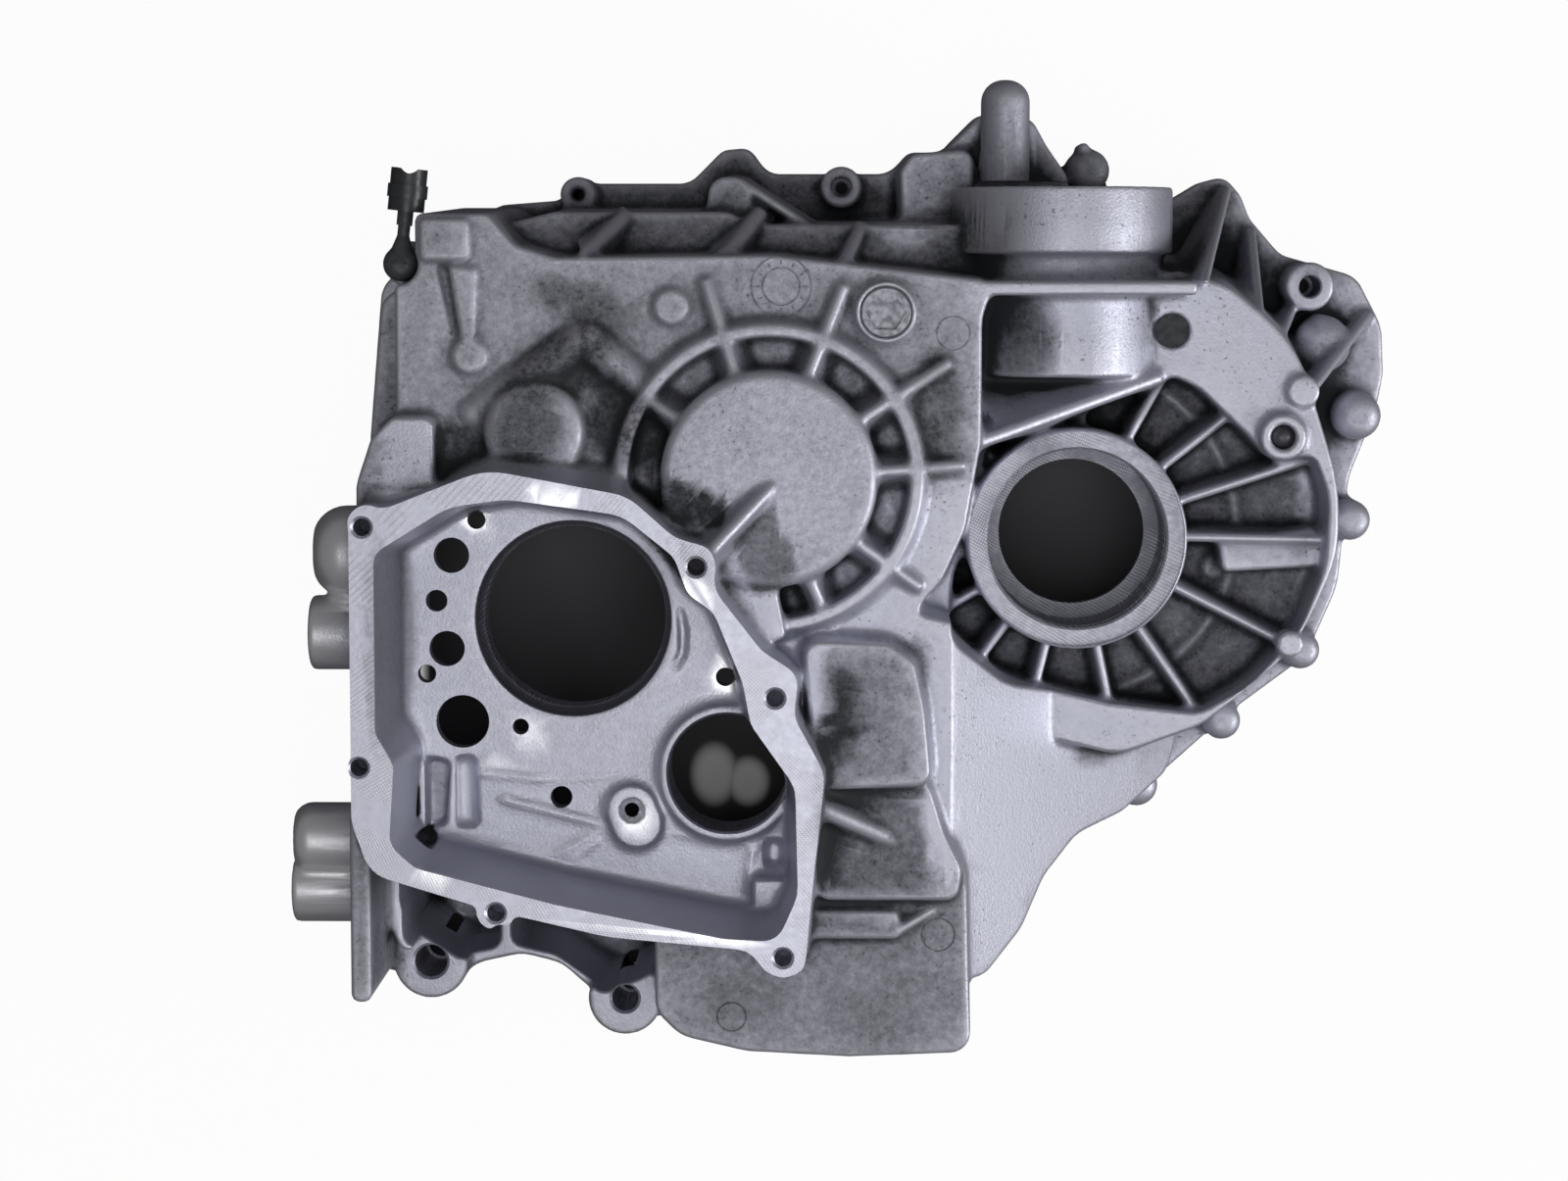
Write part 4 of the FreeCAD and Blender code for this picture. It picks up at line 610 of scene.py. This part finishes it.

# %% Zones of grime and painted shade
cross_boss = (np.abs(x - CROSS_BORE[0]) < 42) & (y > 108) & (y < 148) & (z > 60)
in_chamber = (x > -186) & (x < -18) & (y > -140) & (y < 32) & (z > 124.2) & (z < 184) & (from_dome > 58)
end_face = rise(z, 138, 142) * fall(z, 156, 160) * rise(y, 20, 45) * fall(x, 48, 56)
dome_top = fall(from_dome, 43, 46) * rise(z, 156, 160)
ring_groove = rise(from_dome, 41, 43) * fall(from_dome, 53, 55) * fall(z, 146, 152) * (z > 130)
low_face = rise(z, 138, 142) * fall(z, 156, 162) * fall(y, -120, -112) * fall(x, 44, 50) * (1 - in_chamber)
boxes = rise(x, -14, -10) * fall(x, 28, 34) * fall(y, -30, -22) * rise(z, 140, 148)
web = fall(z, 92, 100) * rise(z, 50, 60) * rise(from_seal, 42, 44) * fall(from_seal, 92, 100)
pocket = rise(x, 44, 50) * fall(x, 120, 130) * rise(y, 52, 58) * fall(y, 110, 114) * fall(z, 98, 104)
seal_neck = (from_seal < 43) * rise(z, 114, 116)
flank = rise(y, 108, 114) * fall(z, 134, 142) * np.where(cross_boss, 0.15, 1)
flank *= 1 - 0.45 * ((x > 12) & (x < 76) & (y > 126))
left_flank = fall(x, -183, -178) * rise(z, 20, 40) * fall(z, 176, 182) * rise(x, -200, -196)
foot = fall(z, 30, 75) * fall(y, -128, -122) * fall(x, -72, -66)
right_flange = (x > 118) * rise(y, -120, -80) * fall(z, 60, 96)

# painted shade: flank and left_flank face away from the lamps, and pocket, web, foot and ring_groove lie deep,
# so their darkening stands for shade, with some oil on the web; the other zones are darkened by the given
# amounts
zones = [
    0.48 * end_face, 0.32 * dome_top, 0.5 * ring_groove, 0.60 * low_face, (0.5 + 0.15 * (y < -84)) * boxes,
    0.66 * web, 0.85 * pocket, 0.5 * seal_neck, 0.66 * flank, 0.55 * left_flank, 0.35 * foot,
    0.35 * right_flange,
]
print("zones of grime:", len(zones))

# %% Stains and painted shade
# strength, then what patch() takes: place, half sizes, half height, turn
STAINS_AND_SHADE = [
    (0.8, -104, 104, 152, 24, 10, 10, -14), (0.6, -92, 96, 152, 22, 16, 10, -30),  # above the chevron
    (0.85, -112, 80, 150, 34, 14, 14, 32), (0.9, -104, 76, 150, 10, 12, 6),  # on the chevron
    (0.95, -82, 54, 150, 13, 20, 12, 20), (0.9, -92, 60, 150, 12, 22, 10),  # chevron to ring
    (0.9, -156, 48, 150, 20, 11), (0.7, -126, 56, 150, 20, 16, 14),  # round the half dome
    (0.8, 34, 63, 150, 12, 30, 10),  # right end of the end face
    # painted shadow on the left sides of the two boxes
    (0.95, -3, -54, 168, 9, 21, 20), (0.9, -8, -114, 156, 6, 15, 14),  # left sides of the two boxes
    (0.7, -40, -167, 150, 28, 14, 12),  # low face
    # painted shade in the recesses either side of the cross boss
    (0.85, 135, 125, 90, 12, 14, 30), (0.8, 46, 128, 105, 20, 22, 34),  # either side of the cross boss
    # painted shade in the pocket
    (0.9, 62, 80, 90, 20, 24, 18), (0.75, 62, 85, 112, 22, 26, 26),  # in the pocket
    # painted shade in the lower left corner of the chamber
    (0.9, -175, -90, 95, 6, 17, 32), (0.6, -163, -90, 124, 6, 14, 4),  # lower left corner of the chamber
    # painted shade under the differential
    (0.85, 62, -124, 60, 3.5, 15, 30, -8), (0.35, 69, -92, 80, 14, 9, 20),  # under the differential
    # painted shade on the dark left wall of the chamber
    (0.6, -178, -25, 158, 8, 48, 24),  # left wall of the chamber
]
# strength, corners, height and half height of the painted shadows on the dome, either side of its low rib
DOME_SHADOWS = [
    (0.95, [(-75, 40), (-84, 32), (-66, 18), (-48, 17), (-46.5, 28.5)], 160, 10),
    (0.72, [(-46, 13), (-38, -8), (-26.2, -8), (-26.2, 15), (-28, 28)], 163),
    (0.72, [(-40, 10), (-38, -8), (-19.5, -8), (-21, 11), (-26.2, 15)], 163),
]
stains_and_shade = [strength * patch(*shape) for strength, *shape in STAINS_AND_SHADE]
dome_shadows = [strength * field(*shape) for strength, *shape in DOME_SHADOWS]
grime_and_shade = np.max(zones + stains_and_shade + dome_shadows, axis=0)
print("stains:", len(stains_and_shade) + len(dome_shadows), "mean grime", round(float(grime_and_shade.mean()), 2))

# %% Painted highlights: glints, milled spots and lit side bosses
# strength, then what patch() takes
# painted highlights: bright glints on the rim and on the chamber floor, where they stand partly for bare
# milled spots
GLINTS = [
    (0.8, -147, 17, 130, 6, 5, 2), (0.45, -127, -67, 130, 6, 8, 2, 30), (0.8, -48, -44, 130, 7, 9, 2, -20),
    (0.7, -84, -99, 132, 7, 8, 4, 20), (0.4, -142, -79, 130, 8, 3, 2, 25),  # on the chamber floor
    (1, -112, 31, 185, 10, 5, 2, -8), (1, -60, -6, 185, 7, 6, 2), (1, -158, -113, 185, 7, 4, 2),
    (1, -47, -135, 185, 13, 5, 2),  # on the rim
]
# painted light: no lamp reaches the side bosses, so their colour is lightened towards GLINT
side_boss_highlight = 0.9 * fall(x, -200, -196)
glints_and_milled = np.max([strength * patch(*shape) for strength, *shape in GLINTS] + [side_boss_highlight], axis=0)
print("glints:", len(GLINTS) + 1)

# %% Store the numbers on the mesh
def add_attribute(name, values, domain="POINT"):
    """Writes one number per point or face for the finishes to read."""
    item = mesh.attributes.new(name, "FLOAT", domain)
    item.data.foreach_set("value", np.asarray(values, np.float32))


add_attribute("grime_and_shade", grime_and_shade)
# hollow and crease darken the colour: painted shade in hollows and inner corners, with dirt
add_attribute("hollow", rise(metal_share, 0.52, 0.74))
add_attribute("edge", np.clip(convex / 1.2, 0, 1))
add_attribute("crease", np.clip(concave, 0, 1))
add_attribute("chamber", in_chamber.astype(float))
add_attribute("glints_and_milled", glints_and_milled)
add_attribute("machined", machined > 0, "FACE")
mesh.polygons.foreach_set("material_index", np.zeros(len(mesh.polygons), np.int32))
print("attributes:", [a.name for a in mesh.attributes if a.domain in ("POINT", "FACE")])

# %% [markdown]
# ## Handing the casting over
# The dressed casting stands for the plain one of the pack. It stays with the root body, since nothing
# on the housing moves.

# %% Hand the casting over
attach(casting, "root")
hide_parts("gearcase_casting")
print("casting replaces gearcase_casting")

# %% [markdown]
# ## Finishes
# The finishes are procedural: noise in object coordinates, mixed by the numbers stored on the mesh.
# Wiring dozens of Math nodes by hand is hard to read, so a small class lets shader maths be written as
# sums and products of values. Every other node comes from its one method.

# %% Shader arithmetic
class Shade:
    """A number or an output of a shader node; arithmetic on it adds maths nodes to the current tree."""

    tree = None

    def __init__(self, source):
        self.source = source

    @classmethod
    def node(cls, kind, settings=None, inputs=None, output=0):
        """Adds a node: its type, its settings, then its inputs by name or number."""
        item = cls.tree.nodes.new(kind)
        for key, value in (settings or {}).items():
            setattr(item, key, value)
        for key, value in (inputs or {}).items():
            socket = item.inputs[key]
            if isinstance(value, Shade):
                value = value.source
            if isinstance(value, bpy.types.NodeSocket):
                cls.tree.links.new(value, socket)
            else:
                socket.default_value = value
        return cls(item.outputs[output])

    def maths(self, operation, *others):
        values = [self, *others]
        return Shade.node("ShaderNodeMath", {"operation": operation}, dict(enumerate(values)))

    def __add__(self, other):
        return self.maths("ADD", other)

    def __sub__(self, other):
        return self.maths("SUBTRACT", other)

    def __mul__(self, other):
        return self.maths("MULTIPLY", other)

    def __truediv__(self, other):
        return self.maths("DIVIDE", other)

    def __rsub__(self, other):
        return Shade(other).maths("SUBTRACT", self)

    def __rtruediv__(self, other):
        return Shade(other).maths("DIVIDE", self)

    __radd__ = __add__
    __rmul__ = __mul__


def link(value, socket):
    """Feeds a shader socket from a value."""
    Shade.tree.links.new(value.source, socket)


print("shader arithmetic ready")

# %% Nodes that the finishes share
def step_between(value, low, high):
    """Rises smoothly from 0 at low to 1 at high."""
    return Shade.node("ShaderNodeMapRange", {"interpolation_type": "SMOOTHSTEP"},
                      {"Value": value, "From Min": low, "From Max": high, "To Min": 0.0, "To Max": 1.0})


def noise(size, detail, roughness):
    """Noise whose lumps are about the given size in millimetres."""
    place = Shade.node("ShaderNodeTexCoord", output="Object")
    return Shade.node("ShaderNodeTexNoise", None,
                      {"Vector": place, "Scale": 1 / (size * MM), "Detail": detail, "Roughness": roughness})


def flat_place():
    """The x and y of a point in millimetres."""
    place = Shade.node("ShaderNodeTexCoord", output="Object")
    x = Shade.node("ShaderNodeSeparateXYZ", None, {0: place}, output="X")
    y = Shade(x.source.node.outputs["Y"])
    return x * 1000, y * 1000


def stored(name):
    """A number kept on the mesh."""
    return Shade.node("ShaderNodeAttribute", {"attribute_name": name}, output=2)


def blend(factor, first, second):
    """From the first colour at 0 to the second at 1."""
    return Shade.node("ShaderNodeMix", {"data_type": "RGBA"}, {0: factor, 6: first, 7: second}, output=2)


def new_material(name):
    """An empty principled material, whose tree takes the nodes that follow."""
    material = bpy.data.materials.new(name)
    material.use_nodes = True
    Shade.tree = material.node_tree
    return material, material.node_tree.nodes["Principled BSDF"]


print("helpers ready")

# %% [markdown]
# ## Cast aluminium
# The skin of a die casting is grey, mottled and slightly rough. Its edges are lighter, from wear and as
# a painted highlight; dirt and oil darken its hollows, together with painted shade; painted glints light
# a few places; and the machined faces shine and show the crossed arcs of the cutter. One material does
# all this, so that one state runs into the next without a seam.

# %% Patterns of the cast aluminium
# DARK is the tone of dirt and painted shade, BRIGHT of worn edges with a painted highlight and of the feed
# marks, GLINT of the painted glints and lit side bosses
CLEAN = (0.56, 0.565, 0.655, 1)
BRIGHT = (0.74, 0.74, 0.81, 1)
GLINT = (0.95, 0.95, 0.98, 1)
DARK = (0.030, 0.033, 0.038, 1)

cast_metal, shader = new_material("cast_metal")
grain = noise(1.1, 2.0, 0.6)
mottle = noise(3.2, 8.0, 0.78)
cloud = noise(22.0, 5.0, 0.6)
speck = noise(1.6, 3.0, 0.55)
is_machined = stored("machined")
glint_or_milled = stored("glints_and_milled")
chamber = stored("chamber")
hollow = stored("hollow")
edge = stored("edge")
crease = stored("crease")
stored_grime_and_shade = stored("grime_and_shade")
rough_skin = 1 - is_machined
bright_skin = is_machined.maths("MAXIMUM", glint_or_milled)
print("nodes so far:", len(cast_metal.node_tree.nodes))

# %% Dirt and painted shade: darker where stored and in hollows, less so on edges
# painted shade and dirt: the stored places, hollows and inner corners darkened, less so in the chamber
dirt_and_shade = stored_grime_and_shade + (hollow * 0.8 + crease * 0.4) * (1 - 0.85 * chamber)
dirt_and_shade = dirt_and_shade + (cloud - 0.5) * 0.35 * (1 - chamber) + (mottle - 0.5) * 0.7 * (1 - 0.6 * chamber)
dirt_and_shade = dirt_and_shade - edge * 0.35
dirt_and_shade = step_between(dirt_and_shade, 0.02, 1.05) * (1 - 0.45 * is_machined)
specks = step_between(speck, 0.62, 0.68) * step_between(cloud, 0.45, 0.6) * rough_skin * (1 - chamber)
# edges lighter: wear, and a painted highlight on crests and ribs
worn_and_highlit_edges = edge * 0.6 * rough_skin * (1 - step_between(dirt_and_shade, 0.75, 0.95))
print("nodes with dirt:", len(cast_metal.node_tree.nodes))

# %% Crossed feed marks of the cutter
FEED = 1.5  # millimetres from arc to arc
FEED_CENTRES = [(-40, 260), (-330, -60)]
across, along = flat_place()


def feed_arcs(centre):
    """The sine of the distance from a far centre, once per feed."""
    u = across - centre[0]
    v = along - centre[1]
    return ((u * u + v * v).maths("SQRT") * (2 * math.pi / FEED)).maths("SINE")


arcs = feed_arcs(FEED_CENTRES[0]) * feed_arcs(FEED_CENTRES[1])
feed = step_between(arcs, -0.2, 0.5) * step_between(cloud, 0.42, 0.58)
print("nodes with feed marks:", len(cast_metal.node_tree.nodes))

# %% Colour, gloss and relief
colour = blend(dirt_and_shade, CLEAN, DARK)
colour = blend(specks * 0.6, colour, DARK)
colour = blend(worn_and_highlit_edges, colour, BRIGHT)
colour = blend(is_machined * 0.75 * feed, colour, BRIGHT)
colour = blend(glint_or_milled, colour, GLINT)
roughness = 0.52 - 0.07 * is_machined - 0.15 * glint_or_milled + 0.25 * dirt_and_shade - 0.05 * chamber + (mottle - 0.5) * 0.25
relief = grain * (1 - 0.8 * bright_skin) + mottle * 0.6 * (1 - bright_skin) + feed * is_machined * 0.35
bump = Shade.node("ShaderNodeBump", None, {"Strength": 0.3, "Distance": 0.0005, "Height": relief})
link(colour, shader.inputs["Base Color"])
link(roughness, shader.inputs["Roughness"])
link(0.85 + 0.1 * bright_skin - 0.5 * dirt_and_shade, shader.inputs["Metallic"])
link(bump, shader.inputs["Normal"])
casting.data.materials.clear()
casting.data.materials.append(cast_metal)
print("casting finished with", len(cast_metal.node_tree.nodes), "nodes")

# %% [markdown]
# ## The separate pieces
# The screw plug is grey steel, the core plug is a dark pressed disc, the ball is dull steel, and the
# breather is black plastic. Each is small in the picture, so two tones and one noise are enough. The
# pieces keep the meshes of the pack and only get a material.

# %% Finishes of the separate pieces
def worn_material(name, colour, worn, roughness, metallic):
    """A material between two tones, mottled by noise of one size."""
    material, shader = new_material(name)
    spread = step_between(noise(3.0, 5.0, 0.6), 0.35, 0.7)
    link(blend(spread * 0.6, (*colour, 1), (*worn, 1)), shader.inputs["Base Color"])
    link(roughness + 0.15 * spread, shader.inputs["Roughness"])
    shader.inputs["Metallic"].default_value = metallic
    return material


# colour, worn colour, roughness and metallic
PIECES = {
    "screw_plug": ((0.34, 0.345, 0.39), (0.16, 0.17, 0.19), 0.4, 0.7),
    "core_plug": ((0.045, 0.05, 0.055), (0.015, 0.017, 0.019), 0.6, 0.2),
    "ball_plug": ((0.10, 0.10, 0.12), (0.04, 0.04, 0.05), 0.4, 0.5),
    "breather_stem": ((0.07, 0.075, 0.082), (0.04, 0.042, 0.046), 0.38, 0.0),
    "breather_cap": ((0.04, 0.043, 0.048), (0.02, 0.021, 0.023), 0.28, 0.0),
}
for name, finish in PIECES.items():
    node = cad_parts[name]
    node.data.materials.clear()
    node.data.materials.append(worn_material(name, *finish))
print("finished pieces:", list(PIECES))

# %% [markdown]
# ## Floor
# The housing lies on a white floor. A bright floor would light the metal from below, so its white is an
# emission that only the camera sees, and for light it is a dark grey. Inside the housing's outline the
# floor is painted shade: dark grey to the camera too, for the dark inside of the gear case, which is seen
# through the bores and the open lugs. Two pale, faintly glowing patches there are painted light for lit
# lobes of the inner casting.

# %% Make the floor
HALF_FLOOR = 3000
# x, y and half sizes of the places under the housing that are seen through its openings, dark grey to the
# camera as painted shade
GEAR_CASE = (-62, -20, 125, 115)
DIFFERENTIAL = (95, 20, 85, 85)
LUG_HOLES = [(-166, -162, 14, 14), (-94, -174, 10, 10), (-4, 151, 6, 6), (195, 109, 6, 6), (-116, 148, 5, 5)]
# painted light: two pale, faintly glowing patches of floor for the lobes of the inner casting that show
# through the second bore
LIT_LOBES = [(-58.5, -101, 10.5, 14), (-44, -104, 9.5, 11)]

corners = [(-HALF_FLOOR, -HALF_FLOOR, 0), (HALF_FLOOR, -HALF_FLOOR, 0),
           (HALF_FLOOR, HALF_FLOOR, 0), (-HALF_FLOOR, HALF_FLOOR, 0)]
floor = mesh_object("floor", corners, [[0, 1, 2, 3]])
floor_white, shader = new_material("floor_white")
shader.inputs["Roughness"].default_value = 0.9
seen = Shade.node("ShaderNodeLightPath", output="Is Camera Ray")
floor_x, floor_y = flat_place()


def oval(x, y, across, deep):
    """Distance from a point of the floor in units of the oval's half sizes, squared."""
    u = (floor_x - x) / across
    v = (floor_y - y) / deep
    return u * u + v * v


def oblong(x, y, across, deep):
    """The same for a box: the greater of the two parts, squared."""
    u = (floor_x - x) / across
    v = (floor_y - y) / deep
    return (u * u).maths("MAXIMUM", v * v)


inside = oblong(*GEAR_CASE).maths("MINIMUM", oval(*DIFFERENTIAL))
for place in LUG_HOLES:
    inside = inside.maths("MINIMUM", oval(*place))
open_floor = step_between(inside, 0.9, 1.05)
painted_lit_lobes = 1 - step_between(oval(*LIT_LOBES[0]).maths("MINIMUM", oval(*LIT_LOBES[1])), 0.2, 1.25)
pale = (seen * open_floor).maths("MAXIMUM", painted_lit_lobes)
# painted shade: dark grey under the housing, for the camera too; pale for the camera outside it and on the lit
# lobes
link(blend(pale, (0.13, 0.13, 0.14, 1), (0.9, 0.9, 0.9, 1)), shader.inputs["Base Color"])
glow = Shade.node("ShaderNodeEmission", None, {"Color": (1, 1, 1, 1), "Strength": 1.0})
# the lit lobes also glow faintly: painted light
glow_share = (seen * open_floor * 0.96).maths("MAXIMUM", seen * painted_lit_lobes * 0.06)
mixed = Shade.node("ShaderNodeMixShader", None, {0: glow_share, 1: Shade(shader.outputs[0]), 2: glow})
link(mixed, Shade.tree.nodes["Material Output"].inputs["Surface"])
floor.data.materials.append(floor_white)
print("floor finished with", len(floor_white.node_tree.nodes), "nodes")

# %% [markdown]
# ## Light
# The light is that of a plain photo studio: one soft lamp low at the right, which brings out the ribs
# and leaves the faces on the far side dark, one large lamp overhead for the flat faces, and a little
# light from all round.

# %% Set up the light
WORLD_STRENGTH = 0.17

world = bpy.data.worlds.new("Studio")
bpy.context.scene.world = world
world.use_nodes = True
background = world.node_tree.nodes["Background"]
background.inputs["Color"].default_value = (1, 1, 1, 1)
background.inputs["Strength"].default_value = WORLD_STRENGTH


def area_lamp(name, place, aim, size, watts):
    """A square lamp at a place in metres, turned towards a point."""
    light = bpy.data.lights.new(name, "AREA")
    light.size = size
    light.energy = watts
    lamp = bpy.data.objects.new(name, light)
    lamp.location = place
    lamp.rotation_euler = (Vector(place) - Vector(aim)).to_track_quat("Z", "Y").to_euler()
    bpy.context.scene.collection.objects.link(lamp)
    return lamp


lamps = [
    area_lamp("key", (1.5, -0.3, 0.75), (0, 0, 0.1), 0.6, 12),
    area_lamp("overhead", (0.1, -0.25, 1.9), (0, 0, 0.1), 1.0, 8),
]
print("lamps:", [lamp.name for lamp in lamps])

# %% [markdown]
# ## Camera
# The picture was taken from above, about 1.4 metres over the rim. All upright edges of the housing run
# towards one vanishing point, and the camera stands straight above that point. Its focal length, the
# vanishing point and its place were measured from the picture, in picture points and in millimetres.

# %% Place the camera
PICTURE = (1600, 1205)
FOCAL = 3784  # focal length in picture points
VANISHING = (880, 260)
EYE = (5, 122, 1585)
SENSOR = 36

camera_data = bpy.data.cameras.new("Camera")
camera_data.sensor_width = SENSOR
camera_data.lens = SENSOR * FOCAL / PICTURE[0]
camera = bpy.data.objects.new("Camera", camera_data)
off_right = (VANISHING[0] - PICTURE[0] / 2) / FOCAL
off_up = (PICTURE[1] / 2 - VANISHING[1]) / FOCAL
back = Vector((off_right, off_up, 1)).normalized()
right = Vector((0, 1, 0)).cross(back).normalized()
up = back.cross(right)
camera.matrix_world = Matrix((
    (right.x, up.x, back.x, EYE[0] * MM),
    (right.y, up.y, back.y, EYE[1] * MM),
    (right.z, up.z, back.z, EYE[2] * MM),
    (0, 0, 0, 1),
))
bpy.context.scene.collection.objects.link(camera)
bpy.context.scene.camera = camera
bpy.context.scene.view_settings.view_transform = "Standard"
print("lens:", round(camera_data.lens, 1), "mm")
